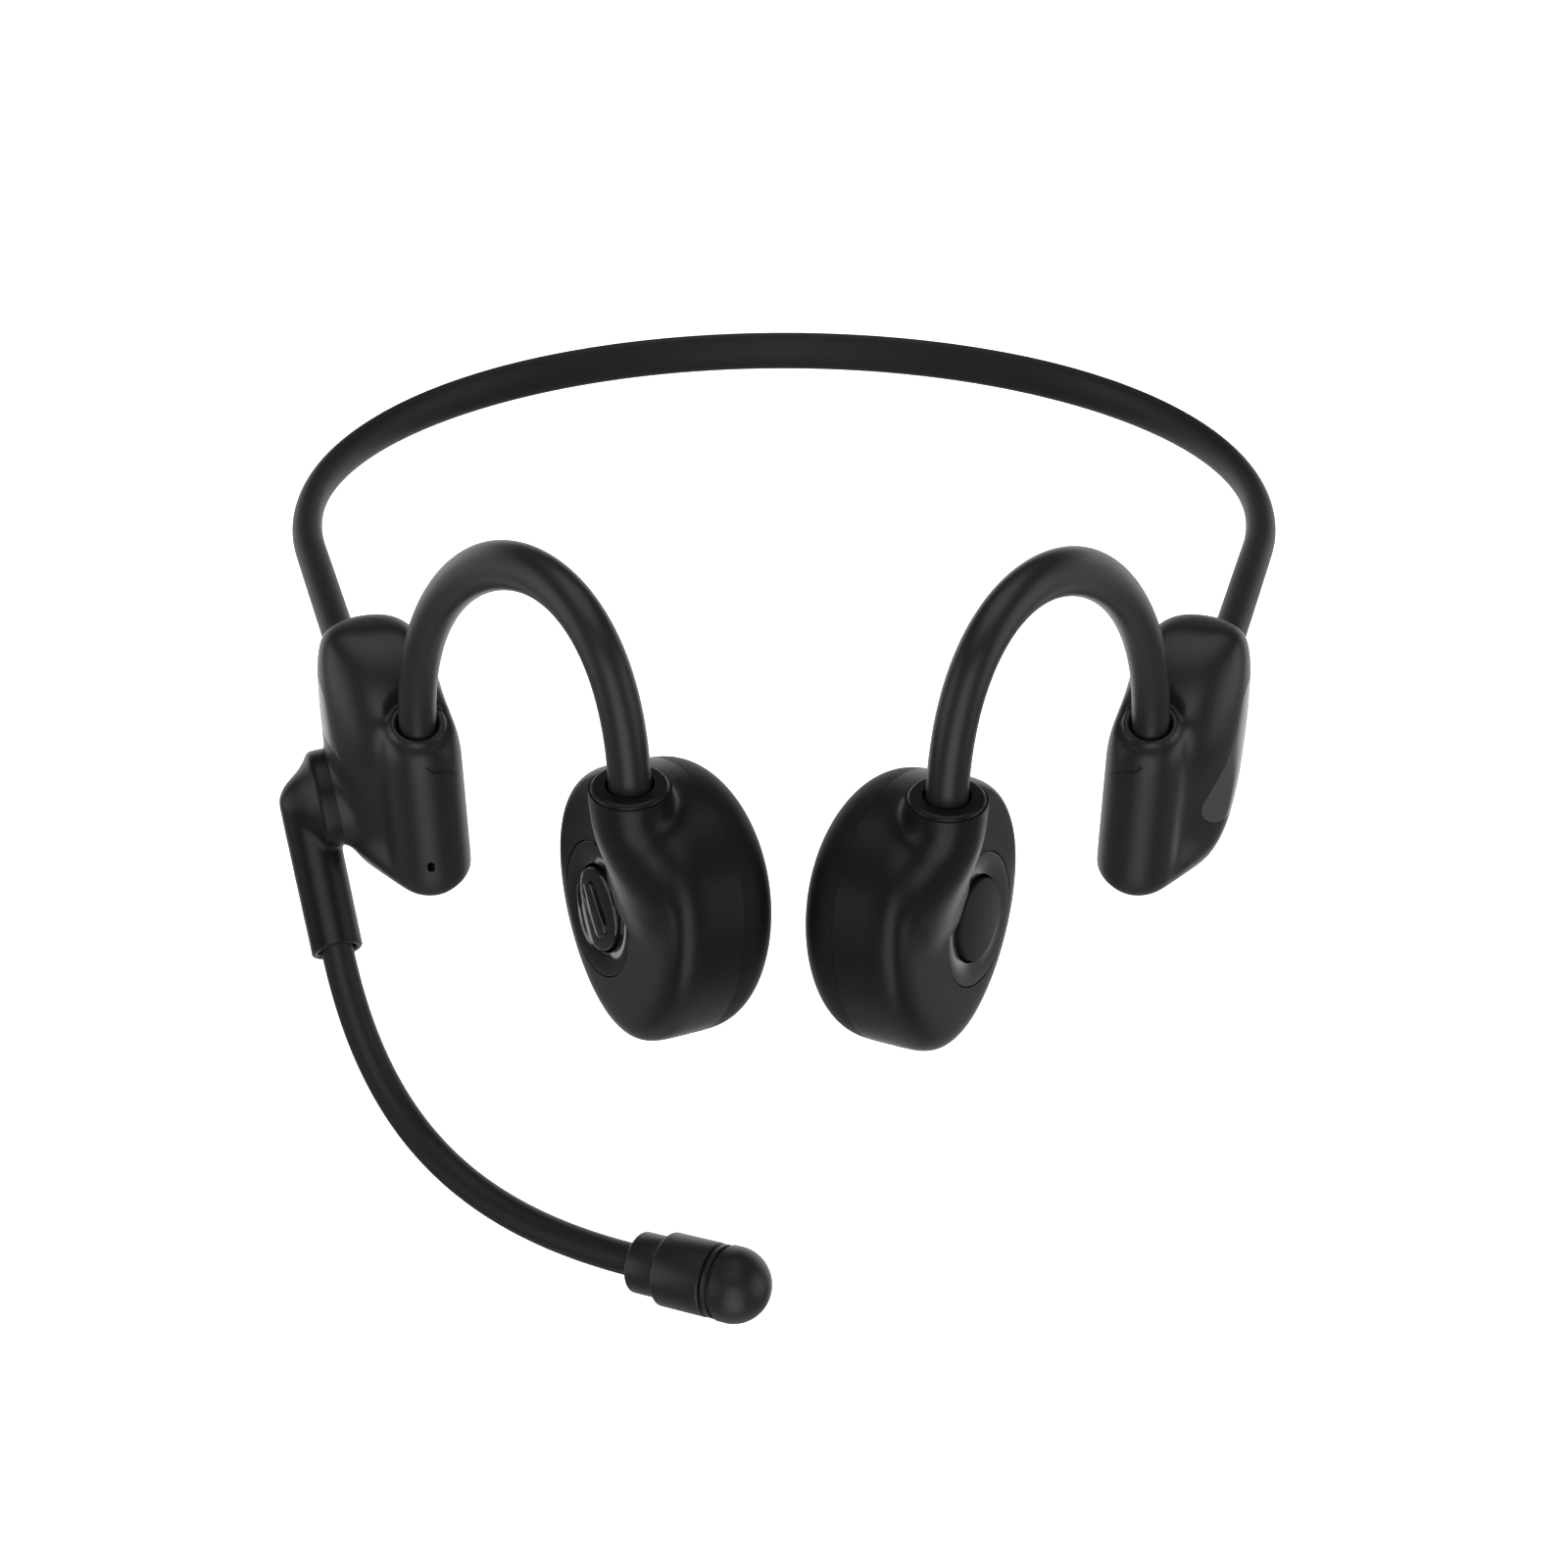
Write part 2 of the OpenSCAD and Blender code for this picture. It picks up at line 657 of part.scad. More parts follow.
// Round pieces of the transducer, each inside the one before
plate_d = pad_bore_d - 2.6;
yoke_d = plate_d - 3.6;
yoke_bore = yoke_d - 3.6;
coil_d = yoke_bore - 1.2;
coil_bore = coil_d - 1.8;
magnet_d = coil_bore - 1;
magnet_sink = 0.2;

module pad_neck(side) at_side(side) translate(neck_mouth(side)) rotate_extrude() polygon([
    [0, -neck_depth - neck_root], [neck_d / 2, -neck_depth - neck_root],
    [neck_d / 2, -neck_edge], [neck_d / 2 - neck_edge, 0], [0, 0]
]);

module at_neck_floor(side) at_side(side) translate(neck_mouth(side) - [0, 0, neck_depth]) children();

// Ridge from the neck down to the front edge of the puck
spine_d = 6.4;
spine_in = 3;
spine_edge = 5.2;
spine_up = 3;
module pad_spine(side) hull() {
    at_neck_floor(side) cylinder(d = neck_d, h = 1, $fn = 24);
    at_pad(side) translate([pad_face_x - spine_in, spine_edge - pad_w / 2, spine_up])
        sphere(d = spine_d, $fn = 16);
}

// Way for the lead from the neck to the space behind the button
lead_way_in = 1.5;
lead_way_y = -1;
lead_way_down = 3.5;
through = 6;

module pad_housing(side) color(SHELL) difference() {
    union() {
        at_pad(side) loft(concat([pad_ring(pad_split_x + split_gap / 2, 0)], [for (a = [0 : 22.5 : 90])
            pad_ring(pad_face_x - pad_edge_r * (1 - sin(a)), pad_edge_r * (1 - cos(a)))]));
        pad_neck(side);
        pad_spine(side);
    }
    at_pad(side) {
        disc(pad_split_x - wall, ledge_x, pad_bore_d);
        disc(ledge_x - split_gap, pad_face_x - face_wall, pad_ledge_d);
        at_button() disc(ledge_x, pad_face_x + through, button_d + 2 * button_gap);
        at_button() disc(pad_face_x - bezel_t, pad_face_x + through, bezel_d + 2 * bezel_gap);
    }
    at_neck_floor(side) cylinder(d = socket_d, h = neck_depth + 1);
    hull() {
        at_neck_floor(side) sphere(d = 2 * channel_along, $fn = 12);
        at_pad(side)
            translate([pad_face_x - face_wall - lead_way_in, lead_way_y, pad_ledge_d / 2 - lead_way_down])
                sphere(d = 2 * channel_along, $fn = 12);
    }
}

module pad_cover(side) color("#202022") at_pad(side) difference() {
    loft(concat([for (a = [0 : 18 : 90])
        pad_ring(-pad_face_x + pad_cover_r * (1 - cos(a)), pad_cover_r * (1 - sin(a)))],
        [pad_ring(pad_split_x - split_gap / 2, 0)]));
    disc(plate_x, pad_split_x + wall, pad_ledge_d);
}

module pad_bezel(side) color(GLOSS) at_pad(side) at_button() difference() {
    disc(pad_face_x - bezel_t, pad_face_x, bezel_d);
    disc(pad_face_x - 2 * bezel_t, pad_face_x + bezel_t, button_d + 2 * button_gap);
}

// Button with a flange behind the face and a plunger over the switch
module pad_button(side) color(GLOSS) at_pad(side) at_button() {
    disc(cap_flange_x + cap_flange_t / 2, pad_face_x + cap_proud, button_d);
    disc(cap_flange_x, cap_flange_x + cap_flange_t, cap_flange_d);
    disc(cap_flange_x - plunger_len, cap_flange_x + cap_flange_t / 2, plunger_d);
    children();
}

// Board across the pad, with the switch under the button
module button_board(side) color(BOARD) at_pad(side) {
    disc(board_face_x, ledge_x, pad_bore_d - 2 * button_board_gap);
    at_button() disc(ledge_x - split_gap, switch_top_x, switch_d);
}

module yoke(side) color(STEEL) at_pad(side) difference() {
    disc(yoke_x, yoke_x + yoke_h, yoke_d);
    disc(yoke_x - yoke_gap, yoke_x + yoke_h - yoke_base, yoke_bore);
}
module magnet(side) color("#6f7378") at_pad(side)
    disc(yoke_x + magnet_sink, yoke_x + yoke_h - yoke_base, magnet_d);
module voice_coil(side) color(COPPER) at_pad(side) difference() {
    disc(plate_x + plate_t, plate_x + plate_t + coil_h, coil_d);
    disc(plate_x, plate_x + 2 * coil_h, coil_bore);
}
module spring_plate(side) color(STEEL) at_pad(side) disc(plate_x, plate_x + plate_t, plate_d);

module right_pad_housing() pad_housing(RIGHT);
module right_pad_cover() pad_cover(RIGHT);
module right_pad_bezel() pad_bezel(RIGHT);
// The right button carries a raised bar to find it by touch
bar_w = 2;
bar_len = 6.4;
bar_h = 0.3;
bar_turn = -40;
module right_pad_button() pad_button(RIGHT) translate([pad_face_x, 0, 0]) rotate([bar_turn, 0, 0])
    stadium_x(bar_w, bar_len, cap_proud + bar_h);
module right_button_board() button_board(RIGHT);
module right_yoke() yoke(RIGHT);
module right_magnet() magnet(RIGHT);
module right_voice_coil() voice_coil(RIGHT);
module right_spring_plate() spring_plate(RIGHT);
module left_pad_housing() pad_housing(LEFT);
module left_pad_cover() pad_cover(LEFT);
module left_pad_bezel() pad_bezel(LEFT);
module left_pad_button() pad_button(LEFT);
module left_button_board() button_board(LEFT);
module left_yoke() yoke(LEFT);
module left_magnet() magnet(LEFT);
module left_voice_coil() voice_coil(LEFT);
module left_spring_plate() spring_plate(LEFT);

// Boom: an elbow on the swivel, a bendable stem and the microphone

arm_clear = 0.15;
arm_rise = arm_d / 2 + arm_clear;
arm_z = hub_seam + arm_rise;
disc_t = 2.4;
elbow_z = 1;
elbow_t = 1.2;
mouth_edge = 0.6;
mouth_in = 0.5;
washer_gap = 0.3;
pin_tail = 0.4;
nut_gap = 0.15;
stem_gap = 0.12;
stem_socket = 6;

module at_arm() at_hub() rotate([0, 0, -arm_angle]) children();
module along_arm(x) translate([x, 0, arm_z]) rotate([0, 90, 0]) children();

module boom_arm() color(SHELL) at_arm() difference() {
    union() {
        translate([0, 0, hub_seam + seam_gap]) cylinder(d = hub_d, h = disc_t);
        hull() {
            translate([0, 0, hub_seam + elbow_z]) cylinder(d = hub_d, h = elbow_t);
            along_arm(0) sphere(d = arm_d, $fn = 32);
        }
        along_arm(0) cylinder(d = arm_d, h = arm_len - mouth_edge);
        along_arm(arm_len - mouth_edge) cylinder(d1 = arm_d, d2 = arm_d - 2 * mouth_in, h = mouth_edge);
    }
    translate([0, 0, hub_seam]) cylinder(d = washer_d + 2 * washer_gap, h = washer_t + seam_gap);
    translate([0, 0, hub_seam]) cylinder(d = pin_d, h = arm_rise);
    along_arm(arm_len - stem_socket) cylinder(d = stem_d + 2 * stem_gap, h = stem_socket + 1);
    along_arm(1) cylinder(d = 2 * channel_along, h = arm_len);
}
module boom_pin() color(STEEL) at_hub() translate([0, 0, boss_base - nut_t - pin_tail])
    cylinder(d = pin_d, h = hub_seam + arm_rise - boss_base + nut_t);
module boom_nut() color(STEEL) at_hub() translate([0, 0, boss_base - nut_t - nut_gap]) difference() {
    cylinder(d = nut_d, h = nut_t);
    translate([0, 0, -nut_t]) cylinder(d = pin_d, h = 3 * nut_t);
}
module friction_washer() color(STEEL) at_hub() translate([0, 0, hub_seam]) difference() {
    cylinder(d = washer_d, h = washer_t);
    translate([0, 0, -washer_t]) cylinder(d = pin_d + washer_gap, h = 3 * washer_t);
}

// Reach of the stem from the arm's mouth to the microphone
stem_in = 40.9;
stem_front = 30.1;
stem_down = 27.4;
stem_lead_in = 29;
stem_lead_out = 25;
mic_yaw = 27.5;
mic_pitch = 10;
stem_steps = 22;
hub_down = [-sin(hub_lean), 0, -cos(hub_lean)];
hub_out = [cos(hub_lean), 0, -sin(hub_lean)];
arm_dir_pod = cos(arm_angle) * hub_down + sin(arm_angle) * [0, -1, 0];
function pod_turn(v) = [v.x * toe_c + v.y * toe_s, -v.x * toe_s + v.y * toe_c, v.z];
arm_dir = pod_turn(arm_dir_pod);
arm_mouth = pod_point([0, hub_y, hub_z] + arm_z * hub_out + arm_len * arm_dir_pod);
mic_dir = [-cos(mic_pitch) * cos(mic_yaw), -cos(mic_pitch) * sin(mic_yaw), sin(mic_pitch)];
mic_root = arm_mouth + [-stem_in, -stem_front, -stem_down];
stem_curve = [arm_mouth, arm_mouth + stem_lead_in * arm_dir, mic_root - stem_lead_out * mic_dir, mic_root];
mic_socket = 3;
stem_path = on_side(RIGHT, concat(
    [arm_mouth - (stem_socket - end_play) * arm_dir],
    [for (i = [0 : stem_steps]) bezier(stem_curve, i / stem_steps)],
    [mic_root + (mic_socket - end_play) * mic_dir]
));
stem_up = flip_x(unit(cross(arm_dir, mic_dir)));

module boom_stem() color(SKIN) sleeve(stem_path, stem_up, function (t) stem_d, function (t) stem_d);
module boom_wire() color(STEEL) core(stem_path, stem_up, wire_d, wire_shift);
module boom_lead() color(COPPER) core(stem_path, stem_up, lead_d, lead_shift);

module at_mic(z) at_side(RIGHT) translate(mic_root)
    rotate([0, acos(mic_dir.z), atan2(mic_dir.y, mic_dir.x)]) translate([0, 0, z]) children();

// Round piece with edges broken by e, from a bore d0 to d1
module turned(d0, d1, h, e) rotate_extrude() polygon([
    [d0 / 2, 0], [d1 / 2 - e, 0], [d1 / 2, e], [d1 / 2, h - e], [d1 / 2 - e, h], [d0 / 2, h]
]);

collar_d = 8;
collar_len = 4.4;
collar_edge = 0.5;
barrel_edge = 0.4;
groove_d = mic_d - 1;
groove_w = 0.35;
ring_w = 0.7;
ring_sink = 0.05;
capsule_d = 6;
capsule_h = 2.7;
gasket_t = 0.4;
gasket_gap = 0.05;
gasket_floor = 0.6;
gasket_hole = 3;
mic_bore = capsule_d + 2 * (gasket_t + gasket_gap);
barrel_floor = 2.2;
mesh_z = collar_len + mic_len;
dome_z = mesh_z + 2 * groove_w + ring_w;
dome_d = mic_d + 0.2;
dome_skirt = 1.2;
dome_wall = 1.2;
dome_edge = 0.3;

module mic_collar() color(SHELL) at_mic(0) difference() {
    turned(0, collar_d, collar_len, collar_edge);
    translate([0, 0, -1]) cylinder(d = stem_d + 2 * stem_gap, h = mic_socket + 1);
    cylinder(d = 2 * channel_along, h = reach);
}
module mic_barrel() color(SHELL) at_mic(collar_len) difference() {
    turned(0, mic_d, mic_len, barrel_edge);
    translate([0, 0, barrel_floor]) cylinder(d = mic_bore, h = mic_len);
    translate([0, 0, -1]) cylinder(d = 2 * channel_along, h = mic_len);
}
module mic_gasket() color("#1b1b1c") at_mic(collar_len + barrel_floor) difference() {
    cylinder(d = mic_bore - 2 * gasket_gap, h = mic_len - barrel_floor - gasket_gap);
    translate([0, 0, gasket_floor]) cylinder(d = capsule_d + gasket_gap, h = mic_len);
    translate([0, 0, -gasket_floor]) cylinder(d = gasket_hole, h = mic_len);
}
module mic_capsule() color(STEEL) at_mic(collar_len + barrel_floor + gasket_floor)
    cylinder(d = capsule_d, h = capsule_h);
// Spool of acoustic mesh with a ring between two grooves
module mic_mesh() color("#151516") at_mic(mesh_z) difference() {
    union() {
        cylinder(d = groove_d, h = dome_z - mesh_z);
        translate([0, 0, groove_w]) cylinder(d = mic_d - 2 * ring_sink, h = ring_w);
    }
    translate([0, 0, -1]) cylinder(d = capsule_d, h = reach);
}
module mic_dome() color(SHELL) at_mic(dome_z) rotate_extrude() polygon(concat(
    [[dome_d / 2 - dome_wall, 0], [dome_d / 2 - dome_edge, 0], [dome_d / 2, dome_edge]],
    [for (a = [0 : 10 : 90]) [dome_d / 2 * cos(a), dome_skirt + dome_d / 2 * sin(a)]],
    [for (a = [90 : -10 : 0]) let (r = dome_d / 2 - dome_wall) [r * cos(a), dome_skirt + r * sin(a)]]
));

neckband_sleeve();
neckband_wire();
neckband_lead();
right_pod_shell();
right_pod_cover();
right_pod_inlay();
left_pod_shell();
left_pod_cover();
left_pod_inlay();
pod_screws();
main_board();
pod_microphone();
battery();
charge_socket();
charge_pins();
volume_rocker();
volume_switches();
right_hook_sleeve();
right_hook_wire();
right_hook_lead();
left_hook_sleeve();
left_hook_wire();
left_hook_lead();
right_pad_housing();
right_pad_cover();
right_pad_bezel();
right_pad_button();
right_button_board();
right_yoke();
right_magnet();
right_voice_coil();
right_spring_plate();
left_pad_housing();
left_pad_cover();
left_pad_bezel();
left_pad_button();
left_button_board();
left_yoke();
left_magnet();
left_voice_coil();
left_spring_plate();
boom_arm();
boom_pin();
boom_nut();
friction_washer();
boom_stem();
boom_wire();
boom_lead();
mic_collar();
mic_barrel();
mic_mesh();
mic_dome();
mic_capsule();
mic_gasket();
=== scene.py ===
import json
from math import cos, pi, radians, sin, tan, tau

import bmesh
import bpy
from mathutils import Matrix, Vector
from mathutils.bvhtree import BVHTree


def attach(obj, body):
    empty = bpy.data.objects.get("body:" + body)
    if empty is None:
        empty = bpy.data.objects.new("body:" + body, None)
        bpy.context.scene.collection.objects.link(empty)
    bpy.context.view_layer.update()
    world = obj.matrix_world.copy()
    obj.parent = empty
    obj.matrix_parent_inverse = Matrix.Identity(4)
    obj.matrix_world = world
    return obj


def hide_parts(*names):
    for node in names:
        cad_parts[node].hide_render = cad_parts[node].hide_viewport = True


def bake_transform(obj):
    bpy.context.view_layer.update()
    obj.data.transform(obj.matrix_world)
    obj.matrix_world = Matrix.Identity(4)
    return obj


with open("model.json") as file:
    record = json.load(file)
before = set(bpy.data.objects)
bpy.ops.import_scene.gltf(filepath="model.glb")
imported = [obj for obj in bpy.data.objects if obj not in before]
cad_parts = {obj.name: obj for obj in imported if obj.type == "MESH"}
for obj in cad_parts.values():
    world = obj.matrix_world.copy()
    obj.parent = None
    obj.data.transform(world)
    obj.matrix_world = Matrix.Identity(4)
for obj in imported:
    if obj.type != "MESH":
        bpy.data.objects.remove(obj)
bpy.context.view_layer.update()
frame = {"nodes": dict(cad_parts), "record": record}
scene = bpy.context.scene

# Camera: in front of the wearer's face and above it, level from side to side, far enough off
# that the neckband, the pads and the microphone all stand well inside the square picture.
VIEW_RISE = radians(34)
VIEW_REACH = 0.3
VIEW_AIM = Vector((0, -0.005, 0.006))
VIEW_LENS = 54

camera = bpy.data.objects.new("camera", bpy.data.cameras.new("camera"))
camera.data.lens = VIEW_LENS
camera.data.clip_start = 0.01
camera.location = VIEW_AIM + VIEW_REACH * Vector((0, -cos(VIEW_RISE), sin(VIEW_RISE)))
camera.rotation_euler = (pi / 2 - VIEW_RISE, 0, 0)
scene.collection.objects.link(camera)
scene.camera = camera
scene.view_settings.view_transform = "Standard"

# Studio: a pale floor far below the headset, a white backdrop behind it that fills the picture, a
# tall softbox in front, one at each side and one overhead.
FLOOR_Z = -0.9
FLOOR_HALF = 6
FLOOR_TONE = (0.85, 0.85, 0.85, 1)
BACKDROP_Y = 0.5
BACKDROP_HALF_W = 0.8
BACKDROP_TOP = 0.12
SURROUND_LIGHT = 0.1
# Place, width, height and watts of each softbox; all of them face the headset
SOFTBOXES = {
    "front_softbox": ((0, -0.75, -0.05), 0.55, 1.1, 5.3),
    "left_softbox": ((0.85, -0.15, 0.05), 0.7, 0.7, 3.1),
    "right_softbox": ((-0.85, -0.15, 0.05), 0.7, 0.7, 3.1),
    "top_softbox": ((0, 0, 0.8), 0.8, 0.8, 4),
}


def stage_sheet(name, corners, material):
    bm = bmesh.new()
    bm.faces.new([bm.verts.new(corner) for corner in corners])
    mesh = bpy.data.meshes.new(name)
    bm.to_mesh(mesh)
    bm.free()
    mesh.materials.append(material)
    made = bpy.data.objects.new(name, mesh)
    scene.collection.objects.link(made)


def stage_paint(name):
    material = bpy.data.materials.new(name)
    material.use_nodes = True
    shader = material.node_tree.nodes["Principled BSDF"]
    shader.inputs["Base Color"].default_value = FLOOR_TONE
    shader.inputs["Roughness"].default_value = 0.9
    shader.inputs["Specular IOR Level"].default_value = 0
    return material, shader


floor_paint, _ = stage_paint("floor_paint")
floor_corners = ((-1, -1), (1, -1), (1, 1), (-1, 1))
stage_sheet("floor", [(x * FLOOR_HALF, y * FLOOR_HALF, FLOOR_Z) for x, y in floor_corners], floor_paint)

# The backdrop is plain white to the camera, to reflections and through glass
backdrop_paint, shader = stage_paint("backdrop_paint")
tree = backdrop_paint.node_tree
path = tree.nodes.new("ShaderNodeLightPath")
seen = path.outputs["Is Camera Ray"]
for ray in ("Is Glossy Ray", "Is Transmission Ray"):
    either = tree.nodes.new("ShaderNodeMath")
    either.operation = "MAXIMUM"
    tree.links.new(seen, either.inputs[0])
    tree.links.new(path.outputs[ray], either.inputs[1])
    seen = either.outputs["Value"]
shader.inputs["Emission Color"].default_value = (1, 1, 1, 1)
tree.links.new(seen, shader.inputs["Emission Strength"])
backdrop_corners = ((-1, FLOOR_Z), (1, FLOOR_Z), (1, BACKDROP_TOP), (-1, BACKDROP_TOP))
stage_sheet("backdrop", [(x * BACKDROP_HALF_W, BACKDROP_Y, z) for x, z in backdrop_corners], backdrop_paint)

for name, (place, width, height, watts) in SOFTBOXES.items():
    lamp = bpy.data.objects.new(name, bpy.data.lights.new(name, "AREA"))
    lamp.data.shape = "RECTANGLE"
    lamp.data.size = width
    lamp.data.size_y = height
    lamp.data.energy = watts
    lamp.location = place
    lamp.rotation_euler = (VIEW_AIM - Vector(place)).to_track_quat("-Z", "Y").to_euler()
    scene.collection.objects.link(lamp)

surround = bpy.data.worlds.new("surround")
surround.use_nodes = True
surround.node_tree.nodes["Background"].inputs["Color"].default_value = (1, 1, 1, 1)
surround.node_tree.nodes["Background"].inputs["Strength"].default_value = SURROUND_LIGHT
scene.world = surround

# Neckband: a matt silicone sleeve moulded over a spring wire. It leaves each pod as a round cord,
# bends gently outwards and flattens to an upright strip behind the nape.
MM = 0.001
TOE = radians(18)
BAND_HALF_W = 65.79
BAND_BACK = 92
BAND_WIDE_Y = 40
BAND_BEND_R = 46
BAND_Z = 23
BAND_H = 6
BAND_T = 2.6
BAND_END_D = 4.2
# Where the band starts inside a pod
BAND_IN_X = 3.5
BAND_IN_Y = 1.5
# Steps along the straight end, the bend and a half of the oval
BAND_STEPS = (12, 12, 60)
# Share of each stretch in the way from round to flat, and where that way starts and ends
BAND_STATIONS = (4, 3, 13)
FLAT_FROM = 3
FLAT_OVER = 12

SOFT_DARK = (0.0085, 0.0085, 0.009, 1)
SOFT_LIGHT = (0.011, 0.011, 0.0116, 1)


def ease(share):
    share = min(max(share, 0), 1)
    return share * share * (3 - 2 * share)


def mix(a, b, share):
    return a + (b - a) * share


def moulded_grain():
    """Fine grain of a moulded skin, with broad patches where it was handled."""
    group = bpy.data.node_groups.new("moulded_grain", "ShaderNodeTree")
    for name in ("Grain", "Patches"):
        group.interface.new_socket(name, in_out="INPUT", socket_type="NodeSocketFloat")
    for name in ("Tone", "Height"):
        group.interface.new_socket(name, in_out="OUTPUT", socket_type="NodeSocketFloat")
    nodes, links = group.nodes, group.links
    start, end = nodes.new("NodeGroupInput"), nodes.new("NodeGroupOutput")
    where = nodes.new("ShaderNodeTexCoord")
    for scale, detail, out in (("Grain", 2, "Height"), ("Patches", 4, "Tone")):
        noise = nodes.new("ShaderNodeTexNoise")
        noise.inputs["Detail"].default_value = detail
        links.new(where.outputs["Object"], noise.inputs["Vector"])
        links.new(start.outputs[scale], noise.inputs["Scale"])
        links.new(noise.outputs["Fac"], end.inputs[out])
    return group


GRAIN = moulded_grain()


def moulding(name, dark, light, smooth, rough, grain=3200, patches=70, depth=0.012, gloss=0.22):
    """Moulded rubber or plastic: two close tones, uneven roughness and a fine grain."""
    material = bpy.data.materials.new(name)
    material.use_nodes = True
    nodes, links = material.node_tree.nodes, material.node_tree.links
    shader = nodes["Principled BSDF"]
    shader.inputs["Specular IOR Level"].default_value = gloss
    skin = nodes.new("ShaderNodeGroup")
    skin.node_tree = GRAIN
    skin.inputs["Grain"].default_value = grain
    skin.inputs["Patches"].default_value = patches
    tone = nodes.new("ShaderNodeMix")
    tone.data_type = "RGBA"
    tone.inputs["A"].default_value = dark
    tone.inputs["B"].default_value = light
    links.new(skin.outputs["Tone"], tone.inputs["Factor"])
    links.new(tone.outputs["Result"], shader.inputs["Base Color"])
    sheen = nodes.new("ShaderNodeMapRange")
    sheen.inputs["From Min"].default_value = 0.3
    sheen.inputs["From Max"].default_value = 0.7
    sheen.inputs["To Min"].default_value = smooth
    sheen.inputs["To Max"].default_value = rough
    links.new(skin.outputs["Tone"], sheen.inputs["Value"])
    links.new(sheen.outputs["Result"], shader.inputs["Roughness"])
    bump = nodes.new("ShaderNodeBump")
    bump.inputs["Strength"].default_value = 0.5
    bump.inputs["Distance"].default_value = depth * MM
    links.new(skin.outputs["Height"], bump.inputs["Height"])
    links.new(bump.outputs["Normal"], shader.inputs["Normal"])
    return material


soft_black = moulding("soft_black", SOFT_DARK, SOFT_LIGHT, smooth=0.46, rough=0.52, gloss=0.18)


def edges_of(ring):
    """Edges of a ring of verts, each once and in order."""
    return list(dict.fromkeys(edge for vert in ring for edge in vert.link_edges))


def section(bm, centre, heading, up, across, along, sides=40):
    """Edges of one oval section, square to the heading."""
    side = up.cross(heading).normalized()
    top = heading.cross(side)
    place = Matrix((side, top, heading)).transposed().to_4x4()
    place.translation = centre
    place = place @ Matrix.Diagonal((across / 2, along / 2, 1, 1))
    ring = bmesh.ops.create_circle(bm, segments=sides, radius=1, matrix=place)["verts"]
    return edges_of(ring)


def skin_over(bm, rings):
    """Closed skin over a row of rings."""
    for near, far in zip(rings, rings[1:]):
        bmesh.ops.bridge_loops(bm, edges=near + far)
    for end in (rings[0], rings[-1]):
        bmesh.ops.contextual_create(bm, geom=end)


def sleeve(points, up, across, along):
    """Moulded sleeve along a path; across and along give its section at each point."""
    bm = bmesh.new()
    rings = []
    last = len(points) - 1
    for i, point in enumerate(points):
        heading = (points[min(i + 1, last)] - points[max(i - 1, 0)]).normalized()
        rings.append(section(bm, point, heading, up, across[i], along[i]))
    skin_over(bm, rings)
    return bm


def piece(bm, name, material, slot, body, *nodes, crease=35):
    """Finished piece from a bmesh in millimetres, on its CAD body and in place of its nodes."""
    bmesh.ops.recalc_face_normals(bm, faces=bm.faces)
    bmesh.ops.scale(bm, vec=(MM, MM, MM), verts=bm.verts)
    for face in bm.faces:
        face.smooth = True
    mesh = bpy.data.meshes.new(name)
    bm.to_mesh(mesh)
    bm.free()
    mesh.set_sharp_from_angle(angle=radians(crease))
    mesh.materials.append(material)
    made = bpy.data.objects.new(name, mesh)
    scene.collection.objects.link(made)
    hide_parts(*nodes)
    if body:
        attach(made, body)
    return made


def band_half():
    """Points of the left half of the band, each with its share of the flat section."""
    bend_x = BAND_HALF_W - BAND_BEND_R * (1 - cos(TOE))
    bend_y = BAND_WIDE_Y - BAND_BEND_R * sin(TOE)
    straight = (bend_y + BAND_IN_X * sin(TOE) - BAND_IN_Y * cos(TOE)) / cos(TOE)
    pod = bend_x - straight * sin(TOE) - BAND_IN_X * cos(TOE) - BAND_IN_Y * sin(TOE)
    stretches = (
        lambda t: (bend_x - straight * (1 - t) * sin(TOE), bend_y - straight * (1 - t) * cos(TOE)),
        lambda t: (BAND_HALF_W - BAND_BEND_R * (1 - cos(TOE * (1 - t))),
                   BAND_WIDE_Y - BAND_BEND_R * sin(TOE * (1 - t))),
        lambda t: (BAND_HALF_W * cos(t * pi / 2),
                   BAND_WIDE_Y + (BAND_BACK - BAND_WIDE_Y) * sin(t * pi / 2)),
    )
    half, passed = [], 0
    for stretch, steps, stations in zip(stretches, BAND_STEPS, BAND_STATIONS):
        for i in range(steps):
            station = passed + stations * i / steps
            flat = ease((station - FLAT_FROM) / FLAT_OVER)
            half.append((Vector((*stretch(i / steps), BAND_Z)), flat))
        passed += stations
    return pod, half


pod_x, half = band_half()
nape = (Vector((0, BAND_BACK, BAND_Z)), 1)
mirrored = [(Vector((-p.x, p.y, p.z)), flat) for p, flat in reversed(half)]
band = half + [nape] + mirrored
band_bm = sleeve(
    [p for p, flat in band],
    Vector((0, 0, 1)),
    [mix(BAND_END_D, BAND_T, flat) for p, flat in band],
    [mix(BAND_END_D, BAND_H, flat) for p, flat in band],
)
piece(band_bm, "neckband", soft_black, "soft_black", "headset", "neckband_sleeve")

# Ear pods: hollow plastic mouldings with a soft-touch skin, each a leaf-shaped body with an upright
# column at its front edge. A cover screwed on behind closes the skin side, and the hook stands in the
# column's mouth. The right pod flares into a round boss for the boom.
POD_H = 35.2
POD_DEPTH = 17
POD_T = 14.4
POD_MID_Y = -0.5
POD_MID_Z = 8.1
POD_LEAN = radians(3)
POD_WEDGE = 0.2
POD_FILL = 0.14
FILL_FROM = -0.6
FILL_OVER = 0.8
POD_WALL = 1.3
CAVITY_STRETCH = 1.05
